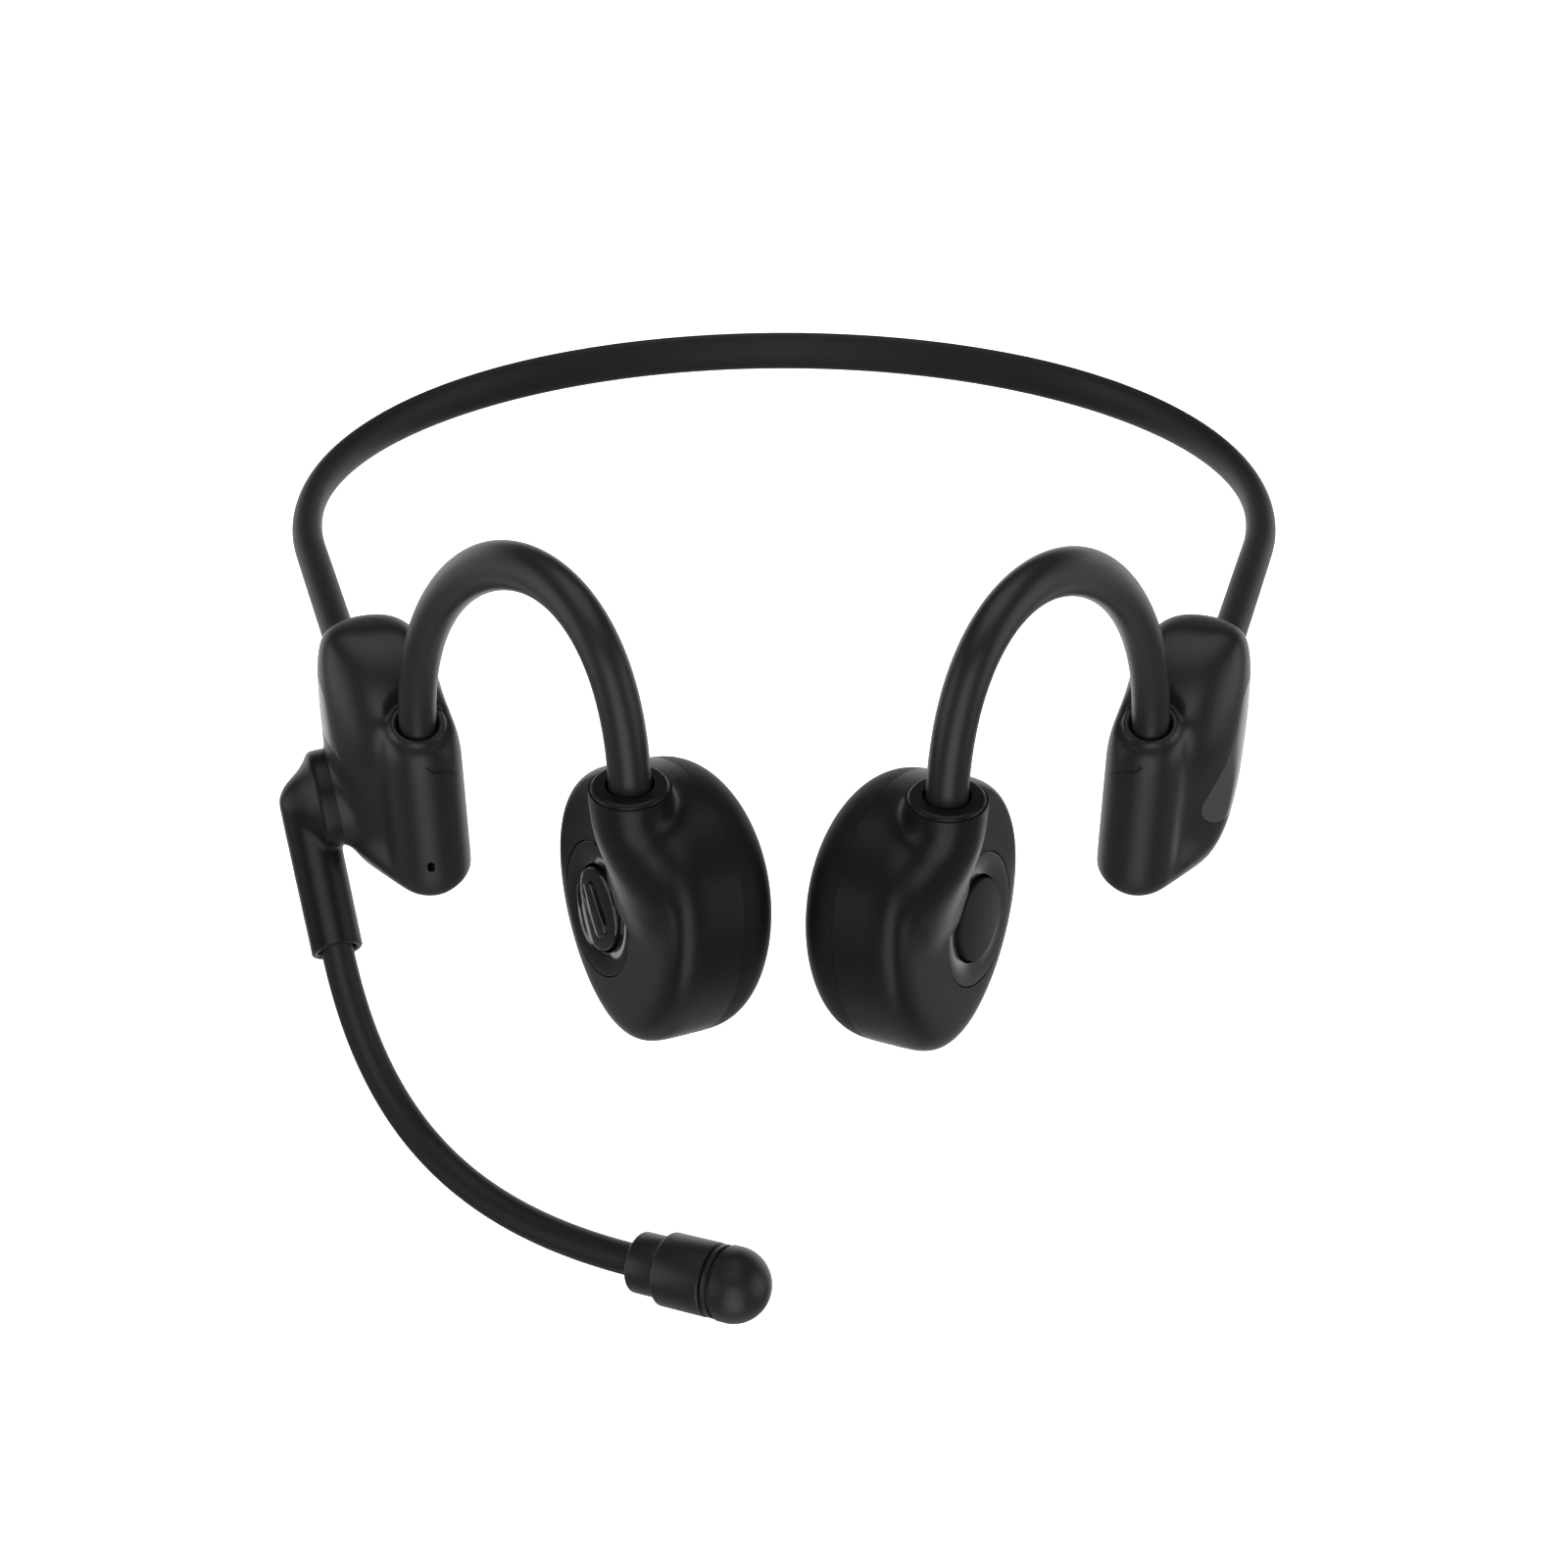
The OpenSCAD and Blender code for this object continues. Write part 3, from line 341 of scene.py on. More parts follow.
# Powers that square off the leaf's outline and fill out its ends
LEAF_SQUARE = 0.85
LEAF_INNER_CORNER = 0.5
LEAF_OUTER_CORNERS = (1.6, 0.95)
LEAF_CORNER_Z = (-6, 5)
LEAF_CROWN = 0.8
LEAF_GIRTH = 0.62
LEAF_TOP_GIRTH = 0.48
LEAF_OUTER_TOP = 0.28
LEAF_FRONT_TOP = 1.3
LEAF_FLARE = 0.1
LEAF_REACH = 87
LEAF_RINGS = 29
LEAF_SIDES = 64
# Where the hook stands, ahead of the leaf's front edge, and the column round it
HOOK_AHEAD = 0.3
HOOK_X = -3.3
HOOK_Y = POD_MID_Y - POD_DEPTH / 2 - HOOK_AHEAD
HOOK_FOOT_Z = 14.2
COLUMN_BACK = 0.4
COLUMN_X = -3.5
COLUMN_Y = HOOK_Y + COLUMN_BACK
COLUMN_D = 10.2
COLUMN_TOP = 22
COLUMN_BOTTOM = -7.8
COLUMN_FOOT_R = 2.5
HOOK_D = 4.7
SOCKET_D = 5.1
SOCKET_DEPTH = 8
SOCKET_SPARE = 10
SHOULDER = 9
SHOULDER_D = 7.4
# Mouth of the column: a tilted rim with a bead, round a flared well
MOUTH_Z = 16.8
MOUTH_TILT = radians(21)
LIP_D = 7
LIP_BEAD = 1
BEAD_SIDES = 16
WELL_D = 8.2
WELL_FLARE = 2
WELL_RISE = 12
# Swivel of the boom, and the boss that carries it
HUB_Y = 2.6
HUB_Z = 0.8
HUB_LEAN = radians(3)
HUB_D = 13
HUB_SEAM = 7
BOSS_FOOT = 4
BOSS_RIM = 1.2
BOSS_INSET = 0.15
BOSS_FALL = 4
BOSS_SPARE = 2
BOSS_STEPS = 10
PIN_D = 3
# The cover takes the skin side behind the column
SPLIT_X = -5.4
SPLIT_Y = -7.4
SPLIT_GAP = 0.08
COVER_ROOM = 100
# Play round a pin or cord, and the size of a cutter that passes right through a pod
PLAY = 0.1
CLEAR = 60
# Where a ray that looks for a pod's front skin starts
IN_FRONT = -40
# Grid and smoothing passes that run the shapes of a pod together, then its rims, then its skin
POD_MELT = (0.35, 80)
RIM_MELT = (0.3, 16)
SKIN_MELT = (0.22, 4)

SHELL_DARK = (0.01, 0.01, 0.0105, 1)
SHELL_LIGHT = (0.013, 0.013, 0.0136, 1)
shell_black = moulding("shell_black", SHELL_DARK, SHELL_LIGHT, smooth=0.37, rough=0.43, gloss=0.25)


def power(value, exponent):
    return abs(value) ** exponent * (1 if value > 0 else -1)


def as_object(bm):
    """Plain object that holds a bmesh while modifiers work on it."""
    mesh = bpy.data.meshes.new("blank")
    bm.to_mesh(mesh)
    bm.free()
    blank = bpy.data.objects.new("blank", mesh)
    scene.collection.objects.link(blank)
    return blank


def scrap(blank):
    mesh = blank.data
    bpy.data.objects.remove(blank)
    bpy.data.meshes.remove(mesh)


def worked(blank):
    """The blank's mesh after its modifiers, as a new bmesh."""
    graph = bpy.context.evaluated_depsgraph_get()
    mesh = bpy.data.meshes.new_from_object(blank.evaluated_get(graph))
    bm = bmesh.new()
    bm.from_mesh(mesh)
    bpy.data.meshes.remove(mesh)
    scrap(blank)
    return bm


def melted(bm, grid, passes):
    """Shapes that overlap run together into one skin, with their creases filled."""
    blank = as_object(bm)
    skin = blank.modifiers.new("skin", "REMESH")
    skin.mode = "VOXEL"
    skin.voxel_size = grid
    soft = blank.modifiers.new("soft", "SMOOTH")
    soft.factor = 0.5
    soft.iterations = passes
    return worked(blank)


def cut(bm, *tools, operation="DIFFERENCE"):
    """Solid after each tool has been cut from it, or joined to it."""
    blank = as_object(bm)
    tools = [as_object(tool) for tool in tools]
    for tool in tools:
        step = blank.modifiers.new("step", "BOOLEAN")
        step.operation = operation
        step.solver = "MANIFOLD"
        step.object = tool
    bm = worked(blank)
    for tool in tools:
        scrap(tool)
    return bm


def together(*shapes):
    """One bmesh with every shape in it."""
    whole = bmesh.new()
    for shape in shapes:
        mesh = bpy.data.meshes.new("shape")
        shape.to_mesh(mesh)
        shape.free()
        whole.from_mesh(mesh)
        bpy.data.meshes.remove(mesh)
    return whole


def turned(profile, place=Matrix(), closed=False, steps=72):
    """Solid turned from a profile of radius and height, or a ring where the profile is closed."""
    bm = bmesh.new()
    line = [bm.verts.new((r, 0, z)) for r, z in profile]
    ends = line[1:] + line[:1] if closed else line[1:]
    edges = [bm.edges.new(pair) for pair in zip(line, ends)]
    bmesh.ops.spin(bm, geom=line + edges, cent=(0, 0, 0), axis=(0, 0, 1), angle=tau, steps=steps,
                   use_merge=True)
    bmesh.ops.remove_doubles(bm, verts=bm.verts, dist=1e-4)
    bmesh.ops.transform(bm, matrix=place, verts=bm.verts)
    bmesh.ops.recalc_face_normals(bm, faces=bm.faces)
    return bm


def lift(z):
    return Matrix.Translation((0, 0, z))


def rod(d, length, place):
    return turned([(0, 0), (d / 2, 0), (d / 2, length), (0, length)], place)


def leaf(inset=0.0, stretch=1.0):
    """Body of a pod, drawn in by a wall; stretch opens its skin side."""
    bm = bmesh.new()
    rings = []
    for step in range(-LEAF_RINGS, LEAF_RINGS + 1):
        angle = radians(LEAF_REACH * step / LEAF_RINGS)
        rise = power(sin(angle), LEAF_CROWN)
        girth = cos(angle) ** (LEAF_TOP_GIRTH if angle > 0 else LEAF_GIRTH)
        outer_girth = cos(angle) ** (LEAF_OUTER_TOP if angle > 0 else LEAF_GIRTH)
        front_girth = cos(angle) ** (LEAF_FRONT_TOP if angle > 0 else LEAF_GIRTH)
        half_t = POD_T / 2 - inset
        half_d = (POD_DEPTH / 2 - inset) * (1 + LEAF_FLARE * rise)
        z = (POD_H / 2 - inset) * rise
        fill = stretch * (1 + POD_FILL * ease((rise - FILL_FROM) / FILL_OVER))
        low, high = LEAF_CORNER_Z
        outer_corner = mix(*LEAF_OUTER_CORNERS, ease((z - low) / (high - low)))
        ring = bmesh.ops.create_circle(bm, segments=LEAF_SIDES, radius=1)["verts"]
        for vert in ring:
            front_corner = outer_corner if vert.co.x > 0 else LEAF_INNER_CORNER
            corner = front_corner if vert.co.y < 0 else LEAF_SQUARE
            c, s = power(vert.co.x, corner), power(vert.co.y, corner)
            swell = outer_girth * (1 + POD_WEDGE * s) if c > 0 else girth * fill
            deep = half_d * s * (front_girth if s < 0 else girth)
            vert.co = (half_t * c * swell, POD_MID_Y + z * tan(POD_LEAN) + deep, POD_MID_Z + z)
        rings.append(edges_of(ring))
    skin_over(bm, rings)
    bmesh.ops.recalc_face_normals(bm, faces=bm.faces)
    return bm


def arc(centre_r, centre_z, radius, start, end, steps=8):
    """Points of a profile round an arc, angles in degrees from the radius outwards."""
    angles = [radians(mix(start, end, i / steps)) for i in range(steps + 1)]
    return [(centre_r + radius * cos(a), centre_z + radius * sin(a)) for a in angles]


# Stops of the flesh on the inner side of the column, and the top of the gusset on its outer side
INNER_WEB = (((-5.2, -7.4, -4), 5), ((-5.4, -7.2, 5), 5.8), ((-5.4, -6.6, 15), 5.8),
             ((-4.7, -4.4, 20.5), 4.6))
GUSSET_TOP = ((-0.5, -8, 4), (1, -6.2, 4))
GUSSET_Z = -3.5
FOOT_CUT_AT = (-2.5, 0, -7.7)
FOOT_CUT_LEAN = radians(22)
FOOT_CUT_SIZE = 40

AT_COLUMN = Matrix.Translation((COLUMN_X, COLUMN_Y, 0))
AT_HOOK = Matrix.Translation((HOOK_X, HOOK_Y, 0))
AT_MOUTH = Matrix.Translation((HOOK_X, HOOK_Y, MOUTH_Z)) @ Matrix.Rotation(MOUTH_TILT, 4, "X")
AT_HUB = (Matrix.Translation((0, HUB_Y, HUB_Z))
          @ Matrix.Rotation(HUB_LEAN, 4, "Y") @ Matrix.Rotation(pi / 2, 4, "Y"))
MIRROR = Matrix.Scale(-1, 4, (1, 0, 0))
POD = {"left": Matrix.Translation((pod_x, 0, 0)) @ Matrix.Rotation(-TOE, 4, "Z")}
POD["right"] = MIRROR @ POD["left"]


def column():
    """Upright bar with a round foot, cut off aslant at the hook's mouth."""
    foot = arc(COLUMN_D / 2 - COLUMN_FOOT_R, COLUMN_BOTTOM + COLUMN_FOOT_R, COLUMN_FOOT_R, -90, 0)
    bar = turned([(0, COLUMN_BOTTOM), *foot, (COLUMN_D / 2, COLUMN_TOP - SHOULDER),
                  (SHOULDER_D / 2, COLUMN_TOP), (0, COLUMN_TOP)], AT_COLUMN)
    return cut(bar, rod(CLEAR, CLEAR / 2, AT_MOUTH))


def filler(stops):
    """Round rod through stops of place and diameter, for the flesh between leaf and column."""
    points = [Vector(place) for place, d in stops]
    widths = [d for place, d in stops]
    return sleeve(points, Vector((0, 1, 0)), widths, widths)


def gusset():
    """Flesh that runs the foot of the column into the foot of the leaf."""
    bm = together(leaf(), column())
    bmesh.ops.delete(bm, geom=[vert for vert in bm.verts if vert.co.z > GUSSET_Z], context="VERTS")
    for corner in GUSSET_TOP:
        bm.verts.new(corner)
    hull = bmesh.ops.convex_hull(bm, input=bm.verts)
    skin = {item for item in hull["geom"] if isinstance(item, bmesh.types.BMFace)}
    bmesh.ops.delete(bm, geom=[face for face in bm.faces if face not in skin], context="FACES")
    bmesh.ops.delete(bm, geom=[vert for vert in bm.verts if not vert.link_faces], context="VERTS")
    bmesh.ops.recalc_face_normals(bm, faces=bm.faces)
    return bm


def boss():
    """Round boss with a hollow flare at its foot, a little too long at both ends."""
    rim, low, high = HUB_D / 2 - BOSS_INSET, -BOSS_SPARE, HUB_SEAM + BOSS_SPARE
    turns = [radians(90 * i / BOSS_STEPS) for i in range(BOSS_STEPS + 1)]
    foot = [(rim + BOSS_FOOT * (1 - sin(a)), HUB_SEAM - BOSS_RIM - BOSS_FALL * cos(a)) for a in turns]
    return turned([(0, low), (rim, low), *foot, (rim, high), (0, high)], AT_HUB)


def pod_body(side):
    """Leaf, column and boss run together, then the mouth for the hook."""
    shapes = [leaf(), column(), gusset(), filler(INNER_WEB)]
    if side == "right":
        shapes.append(boss())
    body = melted(together(*shapes), *POD_MELT)
    well = turned([(0, 0), (WELL_D / 2, 0), (WELL_D / 2 + WELL_FLARE, WELL_RISE), (0, WELL_RISE)], AT_MOUTH)
    under = bmesh.new()
    corner = Matrix.Translation((-FOOT_CUT_SIZE / 2, 0, -FOOT_CUT_SIZE / 2))
    at_foot = Matrix.Translation(FOOT_CUT_AT) @ Matrix.Rotation(FOOT_CUT_LEAN, 4, "Y") @ corner
    bmesh.ops.create_cube(under, size=FOOT_CUT_SIZE, matrix=at_foot)
    body = melted(cut(body, well, under), *RIM_MELT)
    bead = turned(arc(LIP_D / 2 - LIP_BEAD / 2, 0, LIP_BEAD / 2, 0, 360 - 360 / BEAD_SIDES, BEAD_SIDES - 1),
                  AT_MOUTH, closed=True)
    body = cut(body, bead, operation="UNION")
    at_socket = AT_HOOK @ lift(MOUTH_Z - SOCKET_DEPTH)
    body = cut(body, rod(SOCKET_D, SOCKET_DEPTH + SOCKET_SPARE, at_socket))
    return melted(body, *SKIN_MELT)


def cover_room(grow):
    """Block over the skin side, which parts the cover from the shell."""
    bm = bmesh.new()
    middle = (SPLIT_X + grow - COVER_ROOM / 2, SPLIT_Y - grow + COVER_ROOM / 2, 0)
    bmesh.ops.create_cube(bm, size=COVER_ROOM, matrix=Matrix.Translation(middle))
    return bm


def stadium(width, length, depth, place=Matrix(), sides=40):
    """Prism with round ends, width along x, length along y and depth along z."""
    bm = bmesh.new()
    rings = []
    for z in (0, depth):
        turn = lift(z) @ Matrix.Rotation(pi / sides, 4, "Z")
        ring = bmesh.ops.create_circle(bm, segments=sides, radius=width / 2, matrix=turn)["verts"]
        for vert in ring:
            vert.co.y += (length - width) / 2 * (1 if vert.co.y > 0 else -1)
        rings.append(edges_of(ring))
    skin_over(bm, rings)
    bmesh.ops.transform(bm, matrix=place, verts=bm.verts)
    bmesh.ops.recalc_face_normals(bm, faces=bm.faces)
    return bm


def pod_cavity():
    """Space inside the wall, open to the skin side and clear of the hook's socket."""
    socket_floor = lift(HOOK_FOOT_Z - SOCKET_DEPTH - POD_WALL)
    sleeve_room = rod(COLUMN_D, CLEAR, AT_COLUMN @ socket_floor)
    return cut(leaf(POD_WALL, CAVITY_STRETCH), sleeve_room)


def along_skin(body, spots):
    """Points of the front skin at each spot's x and z."""
    tree = BVHTree.FromBMesh(body)
    return [tree.ray_cast(Vector((x, IN_FRONT, z)), Vector((0, 1, 0)))[0] for x, z in spots]


def crease(body):
    """Fine hooked groove round the front of the column, under the mouth."""
    spots = along_skin(body, CREASE_SPOTS)
    fades = [ease(CREASE_FADE_RATE * i / len(spots) - CREASE_FADE_FROM) for i in range(len(spots))]
    widths = [CREASE_D * (1 - CREASE_FADE * fade) for fade in fades]
    return sleeve(spots, Vector((0, 1, 0)), widths, widths)


# Fixing screws (y, z) and the charging block on the skin side
SCREW_SPOTS = ((-1, 19.5), (-2.5, -3.5))
SCREW_HEAD_D = 3.1
SCREW_SEAT_X = -6.3
SCREW_D = 1.9
SCREW_CUT = 20
CHARGE_SPOT = (-7.86, 0.4, 8.2)
CHARGE_W = 3.3
CHARGE_LEN = 8.1
CHARGE_T = 0.9
# Hole of the microphone in the foot of the right column
MIC_HOLE_SPOT = (-2.6, -1.8)
MIC_HOLE_W = 0.9
MIC_HOLE_H = 1.5
MIC_HOLE_DEPTH = 2.5
MIC_HOLE_CUT = 6
# Crease under the mouth: its width, how it fades towards its end, and its spots (x, z)
CREASE_D = 0.4
CREASE_FADE = 0.8
CREASE_FADE_RATE = 2
CREASE_FADE_FROM = 0.8
CREASE_SPOTS = ((-3.3, 13.3), (-3.6, 12.8), (-4.2, 12.4), (-5.2, 12.1), (-6, 11.7), (-6.8, 11),
                (-7.4, 10.2))
# Rocker in the rear edge of the left pod
ROCKER_AT = Vector((0.6, 6.2, 9))
ROCKER_W = 3
ROCKER_LEN = 12
ROCKER_T = 2.9
ROCKER_GAP = 0.25
ROCKER_SINK = 1.2
ROCKER_SLOT = 12
REARWARD = Matrix.Rotation(-pi / 2, 4, "X")
SKINWARD = Matrix.Rotation(pi / 2, 4, "Z") @ Matrix.Rotation(pi / 2, 4, "X")
# Glossy inlay in the outer face
INLAY_AT = (0, 0.4, 9)
INLAY_W = 7.6
INLAY_TURN = radians(17)
INLAY_LEN = 20
INLAY_T = 0.6
INLAY_GAP = 0.09
INLAY_CUT = 40
INLAY_HUB_GAP = 0.5


def inlay_strip(grow, side):
    """Blank of an inlay from its seat outwards, grown all round by a gap."""
    place = Matrix.Translation(INLAY_AT) @ Matrix.Rotation(-INLAY_TURN, 4, "X") @ SKINWARD
    strip = stadium(INLAY_W + 2 * grow, INLAY_LEN + 2 * grow, INLAY_CUT, place)
    if side == "right":
        hub_room = rod(HUB_D + 2 * BOSS_FOOT + 2 * INLAY_HUB_GAP, CLEAR, AT_HUB @ lift(-CLEAR / 3))
        strip = cut(strip, hub_room)
    return cut(strip, leaf(INLAY_T))


bodies = {side: pod_body(side) for side in ("right", "left")}
for side, body in bodies.items():
    at_band = Matrix.Translation((BAND_IN_X, BAND_IN_Y, BAND_Z)) @ REARWARD
    fine = [crease(body), rod(BAND_END_D + PLAY, CLEAR / 2, at_band)]
    if side == "right":
        fine.append(rod(4 * HUB_D, CLEAR / 2, AT_HUB @ lift(HUB_SEAM)))
        fine.append(rod(PIN_D + PLAY, CLEAR / 2, AT_HUB))
        hole_at = along_skin(body, [MIC_HOLE_SPOT])[0] + Vector((0, MIC_HOLE_DEPTH, 0))
        fine.append(stadium(MIC_HOLE_W, MIC_HOLE_H, MIC_HOLE_CUT,
                            Matrix.Translation(hole_at) @ Matrix.Rotation(pi / 2, 4, "X")))
    else:
        fine.append(stadium(ROCKER_W + 2 * ROCKER_GAP, ROCKER_LEN + 2 * ROCKER_GAP, ROCKER_SLOT,
                            Matrix.Translation(ROCKER_AT - Vector((0, ROCKER_SINK, 0))) @ REARWARD))
    plug = cut(inlay_strip(0, side), body.copy(), operation="INTERSECT")
    whole = cut(body, *fine)
    cover = cut(whole.copy(), cover_room(-SPLIT_GAP / 2), operation="INTERSECT")
    shell = cut(whole, cover_room(SPLIT_GAP / 2), pod_cavity(), inlay_strip(INLAY_GAP, side))
    sinks = []
    for y, z in SCREW_SPOTS:
        at_screw = Matrix.Translation((0, y, z)) @ SKINWARD
        for d, floor in ((SCREW_D, 0), (SCREW_HEAD_D, SCREW_SEAT_X)):
            sinks.append(rod(d, SCREW_CUT, at_screw @ lift(floor - SCREW_CUT)))
    if side == "left":
        at_charge = Matrix.Translation(CHARGE_SPOT) @ SKINWARD @ lift(-CHARGE_T)
        sinks.append(stadium(CHARGE_W, CHARGE_LEN, 2 * CHARGE_T, at_charge))
    cover = cut(cover, *sinks)
    for bm, name in ((shell, "shell"), (cover, "cover")):
        bmesh.ops.transform(bm, matrix=POD[side], verts=bm.verts)
        piece(bm, f"{side}_pod_{name}_moulding", shell_black, "shell_black", "headset",
              f"{side}_pod_{name}")
    bmesh.ops.transform(plug, matrix=POD[side], verts=plug.verts)
    bodies[side] = plug

# Inlays: smooth strips of glossy plastic, snapped flush into the outer face of each pod; the right
# one is cut round to clear the boss.
INLAY_DARK = (0.045, 0.045, 0.046, 1)
INLAY_LIGHT = (0.055, 0.055, 0.056, 1)
inlay_black = moulding("inlay_black", INLAY_DARK, INLAY_LIGHT, smooth=0.22, rough=0.28, grain=900,
                       depth=0.001, gloss=0.3)
for side, plug in bodies.items():
    piece(plug, f"{side}_pod_inlay_strip", inlay_black, "gloss_black", "headset", f"{side}_pod_inlay")

# Volume rocker: one rubber key with rounded edges, let into a slot in the rear edge of the left pod
# and hung on a pivot across its middle.
COVER_DARK = (0.0042, 0.0042, 0.0045, 1)
COVER_LIGHT = (0.0058, 0.0058, 0.0061, 1)
ROCKER_EDGE = 0.4
cover_black = moulding("cover_black", COVER_DARK, COVER_LIGHT, smooth=0.5, rough=0.56, gloss=0.15)


def break_edges(bm, width, segments=3, over=30):
    """Rounds every edge that turns by more than the given angle."""
    closed = [edge for edge in bm.edges if len(edge.link_faces) == 2]
    sharp = [edge for edge in closed if edge.calc_face_angle() > radians(over)]
    bmesh.ops.bevel(bm, geom=sharp, offset=width, segments=segments, profile=0.5, affect="EDGES",
                    material=-1)


at_rocker = POD["left"] @ Matrix.Translation(ROCKER_AT) @ REARWARD
rocker = stadium(ROCKER_W, ROCKER_LEN, ROCKER_T, at_rocker)
break_edges(rocker, ROCKER_EDGE)
piece(rocker, "rocker_key", cover_black, "cover_black", "volume_key", "volume_rocker")

# Ear hooks: round silicone tubes over a spring wire, moulded a little deeper over the crown of the
# ear. One end stands in the pod's column, the other in the pad's neck.
HOOK_SWELL = 0.96
HOOK_SWELL_POWER = 4
HOOK_RISE_REAR = 32.2
HOOK_RISE_FRONT = 36.8
HOOK_STEPS = 72
NECK_MOUTH = Vector((16.6, -44, 32.3))
NECK_DEPTH = 7
LEFT_SHIFT = Vector((1, 0, -1.5))
END_PLAY = 0.3

# The hooks are the same silicone as the neckband and stem (soft_black), given a lighter base colour:
# painted light, standing in for the brighter light the hooks catch.
HOOK_LIT_DARK = (0.0105, 0.0105, 0.011, 1)
HOOK_LIT_LIGHT = (0.0135, 0.0135, 0.0141, 1)
hook_painted_light_black = moulding("hook_painted_light_black", HOOK_LIT_DARK, HOOK_LIT_LIGHT, smooth=0.36, rough=0.42, gloss=0.26)


def bezier(points, t):
    a, b, c, d = points
    return (1 - t) ** 3 * a + 3 * (1 - t) ** 2 * t * b + 3 * (1 - t) * t * t * c + t ** 3 * d


hook_foot = POD["left"] @ Vector((HOOK_X, HOOK_Y, HOOK_FOOT_Z))
for side, shift in (("right", Vector()), ("left", LEFT_SHIFT)):
    mouth = NECK_MOUTH + shift
    guide = (hook_foot, hook_foot + Vector((0, 0, HOOK_RISE_REAR)),
             mouth + Vector((0, 0, HOOK_RISE_FRONT)), mouth)
    points = [bezier(guide, i / HOOK_STEPS) for i in range(HOOK_STEPS + 1)]
    points = [hook_foot - Vector((0, 0, SOCKET_DEPTH - END_PLAY)), *points,
              mouth - Vector((0, 0, NECK_DEPTH - END_PLAY))]
    last = len(points) - 1
    across = [HOOK_D + HOOK_SWELL * sin(pi * i / last) ** HOOK_SWELL_POWER for i in range(last + 1)]
    span = mouth - hook_foot
    hook_bm = sleeve(points, Vector((span.y, -span.x, 0)).normalized(), across, [HOOK_D] * len(points))
    if side == "right":
        bmesh.ops.transform(hook_bm, matrix=MIRROR, verts=hook_bm.verts)
    piece(hook_bm, f"{side}_hook", hook_painted_light_black, "soft_black", "headset", f"{side}_hook_sleeve")

# Pad housings: hard plastic shells with a satin skin, egg-shaped from the side, each with a round
# neck that takes the hook and runs down into the front edge as a soft ridge. The button and its ring
# sit in the face.
PAD_AT = Vector((13.4, -39, 13.3))
PAD_TOE = radians(30)
PAD_TILT = radians(7.5)
PAD_W = 31.4
PAD_H = 32
PAD_FACE = 6.75
PAD_EGG = 0.12
PAD_ROLL = radians(-15)
PAD_SPLIT = -1.35
PAD_SPLIT_GAP = 0.04
PAD_EDGE_R = 2.4
PAD_COVER_R = 4.6
PAD_WALL = 3.4
PAD_SIDES = 96
PAD_STEPS = 9
PAD_FLOOR = 2
PAD_MELT = (0.35, 80)
NECK_D = 8.6
NECK_BORE = 5.4
BORE_SPARE = 1
# Middle, width and height of the neck and ridge at points from above the mouth down the front edge
RIDGE = (((8.15, -2.73, 21.5), 9.3, 9.3), ((7.6, -2.73, 17.5), 9.3, 9.3), ((6.9, -3, 13.5), 9.6, 9.3),
         ((5.9, -4.1, 10), 12.5, 8.6), ((4.5, -5.6, 5.6), 17.5, 7.4), ((3.4, -7.6, 1.4), 16.5, 6.7),
         ((2.4, -9, -2.5), 12, 6))
RIDGE_STEPS = 42
NECK_EDGE = 0.5
NECK_SPARE = 1.5
NECK_CUT = 12
BUTTON_AT = (0, 3.8, -2.3)
BEZEL_D = 15.8
BEZEL_T = 0.9
BEZEL_GAP = 0.12
BEZEL_SPARE = 0.05
BEZEL_DISH = 0.35
BUTTON_D = 9.8
BUTTON_GAP = 0.3
BUTTON_PROUD = 0.2
BUTTON_WELL = 3.5
BUTTON_CUT = 10

# The pad housings and the boom arm are the pods' shell plastic (shell_black), given a much darker base
# colour: painted shade, standing in for the shade on the pad walls and the arm.
PAD_SHADED_DARK = (0.0045, 0.0045, 0.0048, 1)
PAD_SHADED_LIGHT = (0.0062, 0.0062, 0.0065, 1)
pad_painted_shade_black = moulding("pad_painted_shade_black", PAD_SHADED_DARK, PAD_SHADED_LIGHT, smooth=0.36, rough=0.42, gloss=0.18)

PAD = {}
for side, shift in (("right", Vector()), ("left", LEFT_SHIFT)):
    PAD[side] = (Matrix.Translation(PAD_AT + shift)
                 @ Matrix.Rotation(-PAD_TOE, 4, "Z") @ Matrix.Rotation(-PAD_TILT, 4, "Y"))
AT_NECK = PAD["right"].inverted() @ Matrix.Translation(NECK_MOUTH)
PAD["right"] = MIRROR @ PAD["right"]
OUTWARD = Matrix.Rotation(pi / 2, 4, "Y")
AT_BUTTON = Matrix.Translation(BUTTON_AT) @ OUTWARD


def puck():
    """Egg-shaped puck with a small radius on the face and a large one on the skin side."""
    quarter = [radians(90 * i / PAD_STEPS) for i in range(PAD_STEPS + 1)]
    levels = [(-PAD_FACE + PAD_COVER_R * (1 - cos(a)), PAD_COVER_R * (1 - sin(a))) for a in quarter]
    levels += [(PAD_FACE - PAD_EDGE_R * (1 - sin(a)), PAD_EDGE_R * (1 - cos(a))) for a in quarter]
    bm = bmesh.new()
    rings = []
    for x, inset in levels:
        ring = bmesh.ops.create_circle(bm, segments=PAD_SIDES, radius=1)["verts"]
        for vert in ring:
            y = (PAD_W / 2 - inset) * vert.co.x * (1 + PAD_EGG * vert.co.y)
            z = (PAD_H / 2 - inset) * vert.co.y
            vert.co = Matrix.Rotation(PAD_ROLL, 3, "X") @ Vector((x, y, z))
        rings.append(edges_of(ring))
    skin_over(bm, rings)
    bmesh.ops.recalc_face_normals(bm, faces=bm.faces)
    return bm


